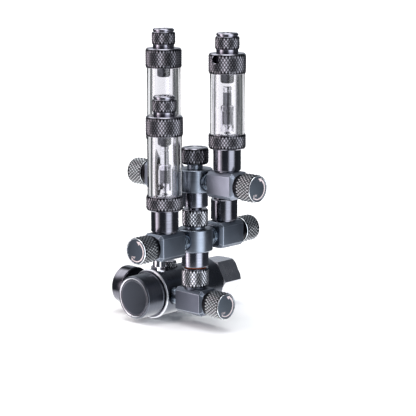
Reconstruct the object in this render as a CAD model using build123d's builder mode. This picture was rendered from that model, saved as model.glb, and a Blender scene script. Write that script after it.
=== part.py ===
from build123d import *
import math
import os

os.makedirs("parts", exist_ok=True)

# A carbon dioxide regulator with two stacked splitter manifolds, in millimetres.
# The origin is the mouth of the inlet nut, +X points out of it, and +Z is up.

# Clearances
thread_gap = 0.05
nut_gap = 0.08
face_gap = 0.1
hole_end_gap = 0.2
seat_gap = 0.3
rim_chamfer = 0.8
small_chamfer = 0.5
fine_chamfer = 0.2

# Regulator barrel, along X, with its outlet and gauge on one cross axis
barrel_radius = 16.1
barrel_behind = 48.1
barrel_ahead = 6.3
chamber_radius = 10.5
chamber_depth = 8.0
supply_bore = 5.0
seat_length = 5.0
seat_radius = 4.5
seat_orifice = 1.5
nipple_thread = 6.5
nipple_engagement = 12.0
outlet_port_radius = 3.6
relief_port_radius = 3.0
port_overrun = 1.0
port_spot = 6.6
plug_spot = 4.6
spot_depth = 1.25
plug_behind = 11.5

# Bonnet, range spring and adjusting screw
flange_radius = 16.95
flange_width = 3.0
bonnet_radius = 14.7
bonnet_length = 15.7
bonnet_wall = 3.2
spigot_radius = 13.5
spigot_length = 1.6
diaphragm_thickness = 0.6
cover_radius = 12.6
cover_thickness = 0.85
cover_recess = 1.2
bonnet_end = 5.8
screw_radius = 4.0
screw_length = 7.9
screw_flange_radius = 10.0
socket_across = 4.0
socket_depth = 4.0
button_radius = 7.5
button_thickness = 2.0
button_boss_height = 1.5
spring_wire = 0.8
range_spring_radius = 6.2
range_spring_pitch = 2.6
plate_radius = 8.0
plate_thickness = 1.5

# Poppet and its spring
poppet_pin = 0.8
poppet_head = 2.5
poppet_length = 5.0
poppet_shoulder = 1.0
poppet_guide_length = 2.0
poppet_lift = 0.02
poppet_spring_radius = 2.9
poppet_spring_wire = 0.5
poppet_spring_pitch = 2.0
poppet_spring_length = 8.0

# Inlet nipple and nut
nut_length = 19.9
nut_across = 27.0
nut_thread = 10.4
nut_thread_depth = 12.8
nut_chamfer = 1.2
nut_float = 0.4
nipple_radius = 6.0
nipple_bore = 2.5
nipple_shoulder = 1.5
nipple_head = 9.6
nipple_head_thickness = 2.5
washer_thickness = 2.0
washer_bore = 4.0
filter_length = 4.0

# Pressure gauge
gauge_radius = 13.5
gauge_near = 23.2
gauge_depth = 10.6
gauge_wall = 1.1
gauge_stem = 5.4
gauge_stem_flange = 7.6
gauge_flange_width = 2.2
gauge_lip = 0.5
dial_thickness = 0.6
dial_depth = 3.6
lens_thickness = 1.2
lens_inset = 0.5
pointer_length = 8.6
pointer_tail = 3.2
pointer_width = 0.9
pointer_thickness = 0.4
pointer_hub = 1.5
pointer_arbor = 0.6
pointer_zero = 135.0

# Relief valve and port plug on top of the barrel
relief_across = 10.0
relief_hex_height = 3.4
relief_body_radius = 4.3
relief_body_height = 6.8
relief_bore = 1.0
plug_radius = 4.0
plug_height = 5.2
plug_inset = 1.5

# Column: the outlet block, then two manifolds one above the other
column_offset = 34.0
bar = 17.6
bar_chamfer = 2.4
bar_inner = 12.0
bar_outer = 12.0
bar_end_chamfer = 2.0
manifold_radius = 11.87
manifold_height = 15.0
manifold_chamfer = 0.5
gas_bore = 1.6
spigot_stem = 4.5
spigot_collar = 6.2
spigot_collar_thickness = 1.6
spigot_reach = 1.2
lip_thickness = 2.2
boss_floor = 1.5
washer_height = 0.8
washer_inset = 1.1

# Each joint of the column: the nut, the neck above it, and the gaps that show
lower_nut_radius = 9.2
lower_nut_height = 12.6
lower_nut_lift = 1.0
lower_neck_radius = 9.1
lower_neck_height = 10.8
lower_neck_gap = 1.1
lower_boss_radius = 7.4
upper_nut_radius = 8.8
upper_nut_height = 11.6
upper_nut_lift = 1.6
upper_neck_radius = 8.7
upper_neck_height = 10.6
upper_neck_gap = 1.5
upper_boss_radius = 6.6
boss_height = 7.2

# Column cap
cap_radius = 9.2
cap_height = 11.0
cap_lift = 3.2
cap_neck_radius = 5.2
cap_neck_bore = 2.0
cap_chamfer = 1.0

# Needle valve arms
arm_reach = 28.75
stem_radius = 6.0
stem_flat = 10.2
stem_groove = 0.8
stem_groove_width = 0.8
stem_groove_start = 3.2
stem_chamfer = 0.3
stem_thread = 3.4
stem_engagement = 5.0
needle_chamber = 3.0
needle_seat = 1.0
seat_offset = 3.0
gland_radius = 8.0
gland_width = 2.2
gland_thread = 5.0
gland_engagement = 4.6
gland_boss = 4.4
gland_boss_length = 6.5
needle_radius = 2.0
needle_tip = 0.35
needle_cone = 2.0
needle_taper = 1.2
knob_radius = 9.2
knob_length = 12.5
knob_chamfer = 0.7
knob_gap = 0.2
knob_hub_cover = 1.5
knob_face_radius = 8.1
knob_face_recess = 0.4
outlet_arm_extra = 1.6

# Bubble counters, measured up from each arm's axis
foot_radius = 7.7
foot_height = 0.7
adaptor_radius = 9.05
adaptor_height = 14.3
adaptor_thread = 4.0
adaptor_thread_length = 4.6
adaptor_chamfer = 0.5
cup_wall = 0.9
collar_chamfer = 1.0
base_collar_height = 9.75
base_collar_floor = 3.6
head_radius = 7.6
head_top = 0.9
head_bore = 1.5
tube_outer = 11.3
tube_inner = 7.9
tube_show = 39.0
top_collar_height = 13.1
top_cup_depth = 6.0
cup_rim = 0.3
stub_radius = 4.45
stub_drop = 6.4
stub_chamfer = 0.7
stub_root = 0.6
vent_radius = 2.5
vent_below_top = 3.5
vent_chamfer = 0.35
neck_thread = 4.6
neck_length = 5.5
barb_radius = 2.05
barb_bore = 1.2
barb_inset = 0.8
riser_base_radius = 4.6
riser_base_height = 1.2
riser_cone_radius = 2.4
riser_cone_height = 0.4
riser_post_radius = 1.1
riser_post_foot = 2.0
riser_plug_lift = 0.4
riser_play = 0.15
skirt_radius = 4.25
skirt_wall = 0.9
skirt_height = 16.6
skirt_lift = 1.7
skirt_cap = 3.6
skirt_chamfer = 0.9
window_radius = 2.3
window_height = 4.1
stem_tip_radius = 2.75
tower_stem = 11.8
short_stem = 0.5
tower_drop_a = 1.2
tower_raise_b = 1.9
tube_nut_radius = 8.03
tube_nut_height = 13.0
tube_nut_lip = 7.15
tube_nut_lip_height = 2.5
tube_nut_chamfer = 0.5
tube_nut_rim = 0.7
tube_nut_cone = 1.2
tube_nut_top_height = 2.4
tube_hole = 3.15
tube_hole_length = 3.0

# Heights that the pieces stand at, stacked from the outlet block up
half_bar = bar / 2
lower_nut_z = half_bar + lower_nut_lift
lower_neck_z = lower_nut_z + lower_nut_height + lower_neck_gap
lower_manifold_z = lower_neck_z + lower_neck_height
lower_arm_z = lower_manifold_z + manifold_height / 2
lower_top_z = lower_manifold_z + manifold_height
upper_nut_z = lower_top_z + upper_nut_lift
upper_neck_z = upper_nut_z + upper_nut_height + upper_neck_gap
upper_manifold_z = upper_neck_z + upper_neck_height
upper_arm_z = upper_manifold_z + manifold_height / 2
upper_top_z = upper_manifold_z + manifold_height
cross_x = -(barrel_behind + nut_length)

# Heights of a bubble counter, above its arm's axis
adaptor_z = half_bar + foot_height
base_collar_z = adaptor_z + adaptor_height
cup_floor_z = base_collar_z + base_collar_floor
tube_show_z = base_collar_z + base_collar_height
top_collar_z = tube_show_z + tube_show
tube_top_z = top_collar_z + top_cup_depth
counter_top_z = top_collar_z + top_collar_height
head_z = tube_show_z - head_top
tube_length = top_cup_depth + tube_show + base_collar_height - base_collar_floor - thread_gap

# Frames: the barrel's normal points to the bonnet, each arm's points outwards
up = Vector(0, 0, 1)
barrel = Plane(origin=(cross_x, 0, 0), x_dir=(0, 0, 1), z_dir=(-1, 0, 0))
outlet_port = Plane(origin=(cross_x, 0, 0), x_dir=(1, 0, 0), z_dir=(0, -1, 0))
gauge_port = Plane(origin=(cross_x, 0, 0), x_dir=(0, 0, 1), z_dir=(0, 1, 0))
relief_port = Plane(origin=(cross_x, 0, 0), x_dir=(1, 0, 0), z_dir=(0, 0, 1))
plug_port = Plane(origin=(cross_x + plug_behind, 0, 0), x_dir=(1, 0, 0), z_dir=(0, 0, 1))
column = Plane(origin=(cross_x, -column_offset, 0), x_dir=(1, 0, 0), z_dir=(0, 0, 1))
outward = {"a": Vector(0, 1, 0), "b": Vector(-1, 0, 0), "c": Vector(0, -1, 0), "d": Vector(1, 0, 0)}
arm_z = {"a": upper_arm_z, "b": lower_arm_z, "c": upper_arm_z, "d": lower_arm_z}


def arm_frame(arm):
    """The frame on an arm's axis, where the bubble counter's axis crosses it."""
    away = outward[arm]
    centre = column.origin + away * arm_reach + up * arm_z[arm]
    return Plane(origin=centre, x_dir=up.cross(away), z_dir=away)


def counter_frame(arm):
    """The upright frame at the same point, with its x direction to the vent's side."""
    away = outward[arm]
    centre = column.origin + away * arm_reach + up * arm_z[arm]
    return Plane(origin=centre, x_dir=away.cross(up), z_dir=up)


outlet_arm = Plane(origin=column.origin, x_dir=(-1, 0, 0), z_dir=(0, -1, 0))


def axis_of(frame):
    """The frame's normal as an axis of revolution."""
    return Axis(frame.origin, frame.z_dir)


def outline(frame, *points):
    """A closed outline of (radius, height) points in a half plane through the frame's axis."""
    half_plane = Plane(frame.origin, x_dir=frame.x_dir, z_dir=frame.x_dir.cross(frame.z_dir))
    with BuildSketch(half_plane) as profile:
        with BuildLine():
            Polyline(*points, close=True)
        make_face()
    return profile.sketch


def disc(frame, height, radius):
    """A circle across the frame's axis at a height."""
    with BuildSketch(frame.offset(height)) as profile:
        Circle(radius)
    return profile.sketch


def hexagon(frame, height, across):
    """A hexagon across the frame's axis at a height."""
    with BuildSketch(frame.offset(height)) as profile:
        RegularPolygon(across / 2, 6, major_radius=False)
    return profile.sketch


def turned(frames, *points):
    """One turned piece of the same outline on each frame, as separate solids."""
    with BuildPart() as pieces:
        for frame in frames:
            revolve(outline(frame, *points), axis=axis_of(frame))
    return pieces


def rod(bottom, top, radius, chamfer_size, bore=0.0):
    """The outline of a round bar with chamfered rims, bored through if bore is set."""
    return [
        (bore, bottom),
        (radius - chamfer_size, bottom),
        (radius, bottom + chamfer_size),
        (radius, top - chamfer_size),
        (radius - chamfer_size, top),
        (bore, top),
    ]


def save(piece, name):
    """Labels a finished piece and writes it."""
    piece.part.label = name
    export_step(piece.part, f"parts/{name}.step")


# Regulator body: a barrel with a low pressure chamber at one end and the inlet at the other
chamber_front = barrel_ahead - spigot_length - diaphragm_thickness
chamber_back = chamber_front - chamber_depth
seat_back = chamber_back - seat_length
nipple_depth = -barrel_behind + nipple_engagement
side_seat = barrel_radius - spot_depth

with BuildPart() as regulator_body:
    revolve(
        outline(
            barrel,
            (nipple_thread + thread_gap, -barrel_behind),
            (barrel_radius - rim_chamfer, -barrel_behind),
            (barrel_radius, -barrel_behind + rim_chamfer),
            (barrel_radius, barrel_ahead),
            (spigot_radius + thread_gap, barrel_ahead),
            (spigot_radius + thread_gap, chamber_front),
            (chamber_radius, chamber_front),
            (chamber_radius, chamber_back),
            (seat_radius + thread_gap, chamber_back),
            (seat_radius + thread_gap, seat_back),
            (supply_bore, seat_back),
            (supply_bore, nipple_depth),
            (nipple_thread + thread_gap, nipple_depth),
        ),
        axis=axis_of(barrel),
    )
    side_ports = (
        (outlet_port, outlet_port_radius, port_spot, chamber_radius - port_overrun),
        (gauge_port, outlet_port_radius, port_spot, chamber_radius - port_overrun),
        (relief_port, relief_port_radius, port_spot, chamber_radius - port_overrun),
        (plug_port, relief_port_radius, plug_spot, supply_bore - port_overrun),
    )
    for frame, radius, spot, depth in side_ports:
        extrude(disc(frame, side_seat, spot), amount=barrel_radius, mode=Mode.SUBTRACT)
        extrude(disc(frame, depth, radius + thread_gap), amount=barrel_radius, mode=Mode.SUBTRACT)
save(regulator_body, "regulator_body")

# Bonnet: its spigot clamps the diaphragm, its flange closes on the barrel
bonnet_front = barrel_ahead + flange_width + bonnet_length
cover_seat = bonnet_front - cover_recess
screw_wall = cover_seat - bonnet_end
spring_room = bonnet_radius - bonnet_wall
bonnet = turned(
    [barrel],
    (spring_room, chamber_front + diaphragm_thickness),
    (spigot_radius, chamber_front + diaphragm_thickness),
    (spigot_radius, barrel_ahead),
    (flange_radius - rim_chamfer, barrel_ahead),
    (flange_radius, barrel_ahead + rim_chamfer),
    (flange_radius, barrel_ahead + flange_width - rim_chamfer),
    (flange_radius - rim_chamfer, barrel_ahead + flange_width),
    (bonnet_radius, barrel_ahead + flange_width),
    (bonnet_radius, bonnet_front - rim_chamfer),
    (bonnet_radius - rim_chamfer, bonnet_front),
    (cover_radius, bonnet_front),
    (cover_radius, cover_seat),
    (screw_radius + thread_gap, cover_seat),
    (screw_radius + thread_gap, screw_wall),
    (spring_room, screw_wall),
)
save(bonnet, "bonnet")

bonnet_cover = turned(
    [barrel], *rod(cover_seat, cover_seat + cover_thickness, cover_radius - thread_gap, fine_chamfer)
)
save(bonnet_cover, "bonnet_cover")

# Diaphragm, clamped at its rim, and the plate that the range spring bears on
diaphragm = turned(
    [barrel],
    (poppet_pin + seat_gap, chamber_front),
    (spigot_radius, chamber_front),
    (spigot_radius, chamber_front + diaphragm_thickness),
    (poppet_pin + seat_gap, chamber_front + diaphragm_thickness),
)
save(diaphragm, "diaphragm")

plate_back = chamber_front + diaphragm_thickness
plate_front = plate_back + plate_thickness
diaphragm_plate = turned(
    [barrel],
    (poppet_pin, plate_back),
    (plate_radius, plate_back),
    (plate_radius, plate_front),
    (poppet_pin, plate_front),
)
save(diaphragm_plate, "diaphragm_plate")

# Adjusting screw and the button that it pushes against the range spring
screw_tip = cover_seat - screw_length - seat_gap
button_back = screw_tip - button_thickness
with BuildPart() as adjusting_screw:
    revolve(
        outline(barrel, *rod(screw_tip, screw_tip + screw_length, screw_radius, small_chamfer)),
        axis=axis_of(barrel),
    )
    extrude(disc(barrel, screw_tip, screw_flange_radius), amount=screw_wall - hole_end_gap - screw_tip)
    extrude(
        hexagon(barrel, screw_tip + screw_length, socket_across),
        amount=-socket_depth,
        mode=Mode.SUBTRACT,
    )
save(adjusting_screw, "adjusting_screw")

button_boss = range_spring_radius - spring_wire - seat_gap
spring_button = turned(
    [barrel],
    (0, button_back - button_boss_height),
    (button_boss, button_back - button_boss_height),
    (button_boss, button_back),
    (button_radius, button_back),
    (button_radius, screw_tip),
    (0, screw_tip),
)
save(spring_button, "spring_button")


def coil(frame, start, end, radius, wire, pitch):
    """An open coil spring along the frame's axis, from start to end."""
    height = end - start - 2 * wire
    foot = frame.origin + frame.z_dir * (start + wire)
    with BuildPart() as spring:
        with BuildLine() as path:
            Helix(pitch, height, radius, center=foot, direction=frame.z_dir)
        with BuildSketch(Plane(path.line @ 0, z_dir=path.line % 0)):
            Circle(wire)
        sweep(is_frenet=True)
    return spring


range_spring = coil(barrel, plate_front, button_back, range_spring_radius, spring_wire, range_spring_pitch)
save(range_spring, "range_spring")

# Valve seat, and the poppet that closes on it from the supply side
valve_seat = turned(
    [barrel],
    (seat_orifice, seat_back + thread_gap),
    (seat_radius, seat_back + thread_gap),
    (seat_radius, chamber_back),
    (seat_orifice, chamber_back),
)
save(valve_seat, "valve_seat")

poppet_face = seat_back + thread_gap - poppet_lift
poppet_back = poppet_face - poppet_length
poppet_guide = poppet_spring_radius - poppet_spring_wire - seat_gap
poppet = turned(
    [barrel],
    (0, poppet_back - poppet_guide_length),
    (poppet_guide, poppet_back - poppet_guide_length),
    (poppet_guide, poppet_back),
    (poppet_head + poppet_shoulder, poppet_back),
    (poppet_head + poppet_shoulder, poppet_face - poppet_shoulder),
    (poppet_head, poppet_face),
    (poppet_pin - thread_gap, poppet_face),
    (poppet_pin - thread_gap, plate_front - hole_end_gap),
    (0, plate_front - hole_end_gap),
)
save(poppet, "poppet")

filter_front = poppet_back - poppet_spring_length
poppet_spring = coil(
    barrel, filter_front, poppet_back, poppet_spring_radius, poppet_spring_wire, poppet_spring_pitch
)
save(poppet_spring, "poppet_spring")

# Inlet filter, nipple, sealing washer and nut
filter_back = filter_front - filter_length
inlet_filter = turned([barrel], *rod(filter_back, filter_front, supply_bore - thread_gap, small_chamfer))
save(inlet_filter, "inlet_filter")

mouth = cross_x
washer_back = mouth + nut_thread_depth - nipple_head_thickness - washer_thickness
head_back = washer_back + washer_thickness
head_front = head_back + nipple_head_thickness
inlet_nipple = turned(
    [barrel],
    (nipple_bore, head_back),
    (nipple_head, head_back),
    (nipple_head, head_front),
    (nipple_radius, head_front),
    (nipple_radius, -barrel_behind - nipple_shoulder),
    (nipple_thread + nipple_shoulder, -barrel_behind - nipple_shoulder),
    (nipple_thread + nipple_shoulder, -barrel_behind),
    (nipple_thread, -barrel_behind),
    (nipple_thread, nipple_depth - thread_gap),
    (nipple_bore, nipple_depth - thread_gap),
)
save(inlet_nipple, "inlet_nipple")

inlet_washer = turned(
    [barrel],
    (washer_bore, washer_back),
    (nipple_head, washer_back),
    (nipple_head, head_back),
    (washer_bore, head_back),
)
save(inlet_washer, "inlet_washer")

nut_front = -barrel_behind - nipple_shoulder - nut_float
nut_corner = nut_across / math.sqrt(3)
thread_end = washer_back - seat_gap
head_room = head_front + seat_gap
with BuildPart() as inlet_nut:
    extrude(hexagon(barrel, mouth, nut_across), amount=nut_front - mouth)
    revolve(
        outline(
            barrel,
            (0, mouth),
            (nut_corner - nut_chamfer, mouth),
            (nut_corner + nut_chamfer, mouth + 2 * nut_chamfer),
            (nut_corner + nut_chamfer, nut_front - 2 * nut_chamfer),
            (nut_corner - nut_chamfer, nut_front),
            (0, nut_front),
        ),
        axis=axis_of(barrel),
        mode=Mode.INTERSECT,
    )
    revolve(
        outline(
            barrel,
            (0, mouth),
            (nut_thread, mouth),
            (nut_thread, thread_end),
            (nipple_head + seat_gap, thread_end),
            (nipple_head + seat_gap, head_room),
            (nipple_radius + face_gap, head_room),
            (nipple_radius + face_gap, nut_front),
            (0, nut_front),
        ),
        axis=axis_of(barrel),
        mode=Mode.SUBTRACT,
    )
save(inlet_nut, "inlet_nut")

# Pressure gauge: case with its stem, dial, pointer and lens
gauge_front = gauge_near + gauge_depth
lens_back = gauge_front - lens_inset - lens_thickness
dial_front = gauge_front - dial_depth
dial_back = dial_front - dial_thickness
gauge_case = turned(
    [gauge_port],
    (0, chamber_radius),
    (outlet_port_radius, chamber_radius),
    (outlet_port_radius, side_seat),
    (gauge_stem, side_seat),
    (gauge_stem, gauge_near - gauge_flange_width),
    (gauge_stem_flange, gauge_near - gauge_flange_width),
    (gauge_stem_flange, gauge_near),
    (gauge_radius - rim_chamfer, gauge_near),
    (gauge_radius, gauge_near + rim_chamfer),
    (gauge_radius, gauge_front - rim_chamfer),
    (gauge_radius - rim_chamfer, gauge_front),
    (gauge_radius - gauge_wall - gauge_lip, gauge_front),
    (gauge_radius - gauge_wall, lens_back),
    (gauge_radius - gauge_wall, dial_back),
    (0, dial_back),
)
save(gauge_case, "gauge_case")

with BuildPart() as gauge_dial:
    extrude(disc(gauge_port, dial_back, gauge_radius - gauge_wall - thread_gap), amount=dial_thickness)
    arbor_hole = disc(gauge_port, dial_back, pointer_arbor + thread_gap)
    extrude(arbor_hole, amount=dial_thickness, mode=Mode.SUBTRACT)
save(gauge_dial, "gauge_dial")

lens_radius = gauge_radius - gauge_wall - gauge_lip - thread_gap
gauge_lens = turned([gauge_port], *rod(lens_back, lens_back + lens_thickness, lens_radius, fine_chamfer))
save(gauge_lens, "gauge_lens")

pointer_back = dial_front + seat_gap
with BuildPart() as gauge_pointer:
    with BuildSketch(gauge_port.offset(pointer_back)):
        with Locations(Rotation(0, 0, pointer_zero)):
            Polygon(
                (-pointer_tail, -pointer_width),
                (pointer_length, -pointer_width / 4),
                (pointer_length, pointer_width / 4),
                (-pointer_tail, pointer_width),
                align=None,
            )
        Circle(pointer_hub)
    extrude(amount=pointer_thickness)
    extrude(disc(gauge_port, dial_back + face_gap, pointer_arbor), amount=pointer_back - dial_back)
save(gauge_pointer, "gauge_pointer")

# Relief valve: hexagon foot and round body; beside it a knurled port plug
relief_body_top = side_seat + relief_hex_height + relief_body_height
with BuildPart() as relief_valve:
    extrude(disc(relief_port, chamber_radius, relief_port_radius), amount=side_seat - chamber_radius)
    extrude(hexagon(relief_port, side_seat, relief_across), amount=relief_hex_height)
    extrude(disc(relief_port, side_seat, relief_body_radius), amount=relief_body_top - side_seat)
    extrude(disc(relief_port, chamber_radius, relief_bore), amount=relief_body_top, mode=Mode.SUBTRACT)
save(relief_valve, "relief_valve")

port_plug = turned(
    [plug_port],
    (0, supply_bore + plug_inset),
    (relief_port_radius, supply_bore + plug_inset),
    (relief_port_radius, side_seat),
    (plug_radius, side_seat),
    (plug_radius, side_seat + plug_height - rim_chamfer),
    (plug_radius - rim_chamfer, side_seat + plug_height),
    (0, side_seat + plug_height),
)
save(port_plug, "port_plug")


def needle_bar(frame, inner, outer):
    """A square bar along the arm with chamfered edges and ends, made in the open part."""
    with BuildPart(mode=Mode.PRIVATE) as blank:
        with BuildSketch(frame.offset(-inner)) as section:
            Rectangle(bar, bar)
            chamfer(section.vertices(), bar_chamfer)
        extrude(amount=inner + outer)
        ends = blank.edges().filter_by(lambda edge: abs(edge.tangent_at(0).dot(frame.z_dir)) < 0.5)
        chamfer(ends, bar_end_chamfer)
    return blank.part


def cut_valve(frame, outer, inlet):
    """Cuts the needle's chamber, its seat, the gland's thread and the inlet bore."""
    cuts = (
        (-seat_offset, needle_chamber, outer + seat_offset),
        (outer - gland_engagement, gland_thread + thread_gap, gland_engagement),
        (-inlet, needle_seat, inlet),
    )
    for start, radius, length in cuts:
        extrude(disc(frame, start, radius), amount=length, mode=Mode.SUBTRACT)


# Outlet block: its stem screws into the barrel, its boss carries the lower swivel nut
outlet_outer = bar_outer + outlet_arm_extra
boss_hole = spigot_stem + face_gap
with BuildPart() as outlet_block:
    add(needle_bar(outlet_arm, bar_inner, outlet_outer))
    extrude(disc(column, 0, lower_boss_radius), amount=lower_nut_z + boss_height)
    revolve(
        outline(
            outlet_port,
            (0, chamber_radius),
            (outlet_port_radius, chamber_radius),
            (outlet_port_radius, side_seat),
            (stem_radius - stem_chamfer, side_seat),
            (stem_radius, side_seat + stem_chamfer),
            (stem_radius, column_offset - bar_inner),
            (0, column_offset - bar_inner),
        ),
        axis=axis_of(outlet_port),
    )
    cut_valve(outlet_arm, outlet_outer, seat_offset)
    extrude(disc(outlet_port, chamber_radius, gas_bore), amount=column_offset - chamber_radius - seat_offset,
            mode=Mode.SUBTRACT)
    extrude(disc(column, 0, gas_bore), amount=bar, mode=Mode.SUBTRACT)
    extrude(disc(column, half_bar - boss_floor, boss_hole), amount=bar, mode=Mode.SUBTRACT)
save(outlet_block, "outlet_block")


def manifold(bottom, neck, boss, spigot, arms):
    """A manifold: round body, ports for its arms, boss above, neck and captive spigot below.

    neck is (radius, height), boss is (radius, top, bore), spigot is (foot, collar height).
    """
    neck_radius, neck_height = neck
    boss_radius, boss_top, boss_wall = boss
    spigot_foot, collar_at = spigot
    top = bottom + manifold_height
    neck_foot = bottom - neck_height
    with BuildPart() as body:
        revolve(
            outline(
                column,
                (gas_bore, spigot_foot),
                (spigot_stem, spigot_foot),
                (spigot_stem, collar_at),
                (spigot_collar, collar_at),
                (spigot_collar, collar_at + spigot_collar_thickness),
                (spigot_stem, collar_at + spigot_collar_thickness),
                (spigot_stem, neck_foot),
                (neck_radius - manifold_chamfer, neck_foot),
                (neck_radius, neck_foot + manifold_chamfer),
                (neck_radius, bottom),
                (manifold_radius - manifold_chamfer, bottom),
                (manifold_radius, bottom + manifold_chamfer),
                (manifold_radius, top - manifold_chamfer),
                (manifold_radius - manifold_chamfer, top),
                (boss_radius, top),
                (boss_radius, boss_top),
                (boss_wall, boss_top),
                (boss_wall, top - boss_floor),
                (gas_bore, top - boss_floor),
            ),
            axis=axis_of(column),
        )
        for arm in arms:
            frame = arm_frame(arm)
            extrude(disc(frame, stem_flat - arm_reach, stem_radius + seat_gap), amount=arm_reach,
                    mode=Mode.SUBTRACT)
            extrude(disc(frame, -arm_reach, stem_thread + thread_gap), amount=arm_reach, mode=Mode.SUBTRACT)
    return body


lower_collar_z = lower_nut_z + lower_nut_height - lip_thickness - spigot_collar_thickness - face_gap
lower_manifold = manifold(
    lower_manifold_z,
    (lower_neck_radius, lower_neck_height),
    (upper_boss_radius, upper_nut_z + boss_height, boss_hole),
    (half_bar - spigot_reach, lower_collar_z),
    "bd",
)
save(lower_manifold, "lower_manifold")

upper_collar_z = upper_nut_z + upper_nut_height - lip_thickness - spigot_collar_thickness - face_gap
upper_manifold = manifold(
    upper_manifold_z,
    (upper_neck_radius, upper_neck_height),
    (cap_neck_radius, upper_top_z + cap_lift + cap_height / 2, cap_neck_bore),
    (lower_top_z - spigot_reach, upper_collar_z),
    "ac",
)
save(upper_manifold, "upper_manifold")


def swivel_nut(bottom, height, radius, boss_radius):
    """A captive nut: threaded over the boss below, its lip above the spigot's collar."""
    shelf = bottom + height - lip_thickness
    thread = max(boss_radius, spigot_collar) + nut_gap
    return turned(
        [column],
        (thread, bottom),
        (radius - rim_chamfer, bottom),
        (radius, bottom + rim_chamfer),
        (radius, bottom + height - rim_chamfer),
        (radius - rim_chamfer, bottom + height),
        (spigot_stem + nut_gap, bottom + height),
        (spigot_stem + nut_gap, shelf),
        (thread, shelf),
    )


lower_swivel_nut = swivel_nut(lower_nut_z, lower_nut_height, lower_nut_radius, lower_boss_radius)
save(lower_swivel_nut, "lower_swivel_nut")
upper_swivel_nut = swivel_nut(upper_nut_z, upper_nut_height, upper_nut_radius, upper_boss_radius)
save(upper_swivel_nut, "upper_swivel_nut")

# Thrust washer that shows as a thin line under the lower neck
swivel_washer = turned(
    [column],
    (spigot_stem + face_gap, lower_neck_z - washer_height),
    (lower_neck_radius - washer_inset, lower_neck_z - washer_height),
    (lower_neck_radius - washer_inset, lower_neck_z),
    (spigot_stem + face_gap, lower_neck_z),
)
save(swivel_washer, "swivel_washer")

# Knurled cap on the top of the column, over the upper manifold's neck
cap_z = upper_top_z + cap_lift
cap_ceiling = cap_z + cap_height / 2 + seat_gap
column_cap = turned(
    [column],
    (cap_neck_radius + nut_gap, cap_z),
    (cap_radius - cap_chamfer, cap_z),
    (cap_radius, cap_z + cap_chamfer),
    (cap_radius, cap_z + cap_height - cap_chamfer),
    (cap_radius - cap_chamfer, cap_z + cap_height),
    (0, cap_z + cap_height),
    (0, cap_ceiling),
    (cap_neck_radius + nut_gap, cap_ceiling),
)
save(column_cap, "column_cap")


def needle_blocks(arms):
    """The needle valve blocks of these arms, each with its stem to the manifold."""
    with BuildPart() as blocks:
        for arm in arms:
            frame = arm_frame(arm)
            add(needle_bar(frame, bar_inner, bar_outer))
            flat = stem_flat - arm_reach
            groove = flat + stem_groove_start
            revolve(
                outline(
                    frame,
                    (0, flat - stem_engagement),
                    (stem_thread, flat - stem_engagement),
                    (stem_thread, flat),
                    (stem_radius - stem_chamfer, flat),
                    (stem_radius, flat + stem_chamfer),
                    (stem_radius, groove),
                    (stem_radius - stem_groove, groove + stem_chamfer),
                    (stem_radius - stem_groove, groove + stem_chamfer + stem_groove_width),
                    (stem_radius, groove + 2 * stem_chamfer + stem_groove_width),
                    (stem_radius, 0),
                    (0, 0),
                ),
                axis=axis_of(frame),
            )
            cut_valve(frame, bar_outer, arm_reach)
            upright = counter_frame(arm)
            thread_foot = half_bar - adaptor_thread_length - hole_end_gap
            extrude(disc(upright, thread_foot, adaptor_thread + thread_gap), amount=bar, mode=Mode.SUBTRACT)
            extrude(disc(upright, 0, head_bore), amount=bar, mode=Mode.SUBTRACT)
    return blocks


save(needle_blocks("ac"), "upper_needle_blocks")
save(needle_blocks("bd"), "lower_needle_blocks")


def gland_nuts(frames, outer):
    """Gland nuts at the outer ends of the blocks, with the bosses that the knobs cover."""
    return turned(
        frames,
        (needle_radius + thread_gap, outer - gland_engagement + hole_end_gap),
        (gland_thread, outer - gland_engagement + hole_end_gap),
        (gland_thread, outer),
        (gland_radius, outer),
        (gland_radius, outer + gland_width),
        (gland_boss, outer + gland_width),
        (gland_boss, outer + gland_width + gland_boss_length),
        (needle_radius + thread_gap, outer + gland_width + gland_boss_length),
    )


save(gland_nuts([arm_frame(arm) for arm in "ac"], bar_outer), "upper_gland_nuts")
save(gland_nuts([arm_frame(arm) for arm in "bd"], bar_outer), "lower_gland_nuts")
save(gland_nuts([outlet_arm], outlet_outer), "outlet_gland_nut")


def needle(frame, outer):
    """A needle: cone in the seat, plain stem through the gland, end in the knob's hub."""
    end = outer + gland_width + knob_gap + knob_length - knob_hub_cover - face_gap
    return turned(
        [frame],
        (0, -seat_offset - needle_cone),
        (needle_tip, -seat_offset - needle_cone),
        (needle_seat - thread_gap, -seat_offset),
        (needle_radius, -seat_offset + needle_taper),
        (needle_radius, end),
        (0, end),
    )


def knob(frame, outer):
    """A knob: chamfered rims, a recessed face, and a hollow back that clears the gland's boss."""
    back = outer + gland_width + knob_gap
    front = back + knob_length
    pocket = back + gland_boss_length + seat_gap
    hub = front - knob_hub_cover
    return turned(
        [frame],
        (gland_boss + seat_gap, back),
        (knob_radius - small_chamfer, back),
        (knob_radius, back + small_chamfer),
        (knob_radius, front - knob_chamfer),
        (knob_radius - knob_chamfer, front),
        (knob_face_radius, front),
        (knob_face_radius, front - knob_face_recess),
        (0, front - knob_face_recess),
        (0, hub),
        (needle_radius + thread_gap, hub),
        (needle_radius + thread_gap, pocket),
        (gland_boss + seat_gap, pocket),
    )


for arm in "abcd":
    save(needle(arm_frame(arm), bar_outer), f"needle_{arm}")
    save(knob(arm_frame(arm), bar_outer), f"knob_{arm}")
save(needle(outlet_arm, outlet_outer), "outlet_needle")
save(knob(outlet_arm, outlet_outer), "outlet_knob")


# Bubble counter pieces, from the block up. Arms a and c stand on one manifold.
collar_radius = tube_outer + thread_gap + cup_wall


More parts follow.
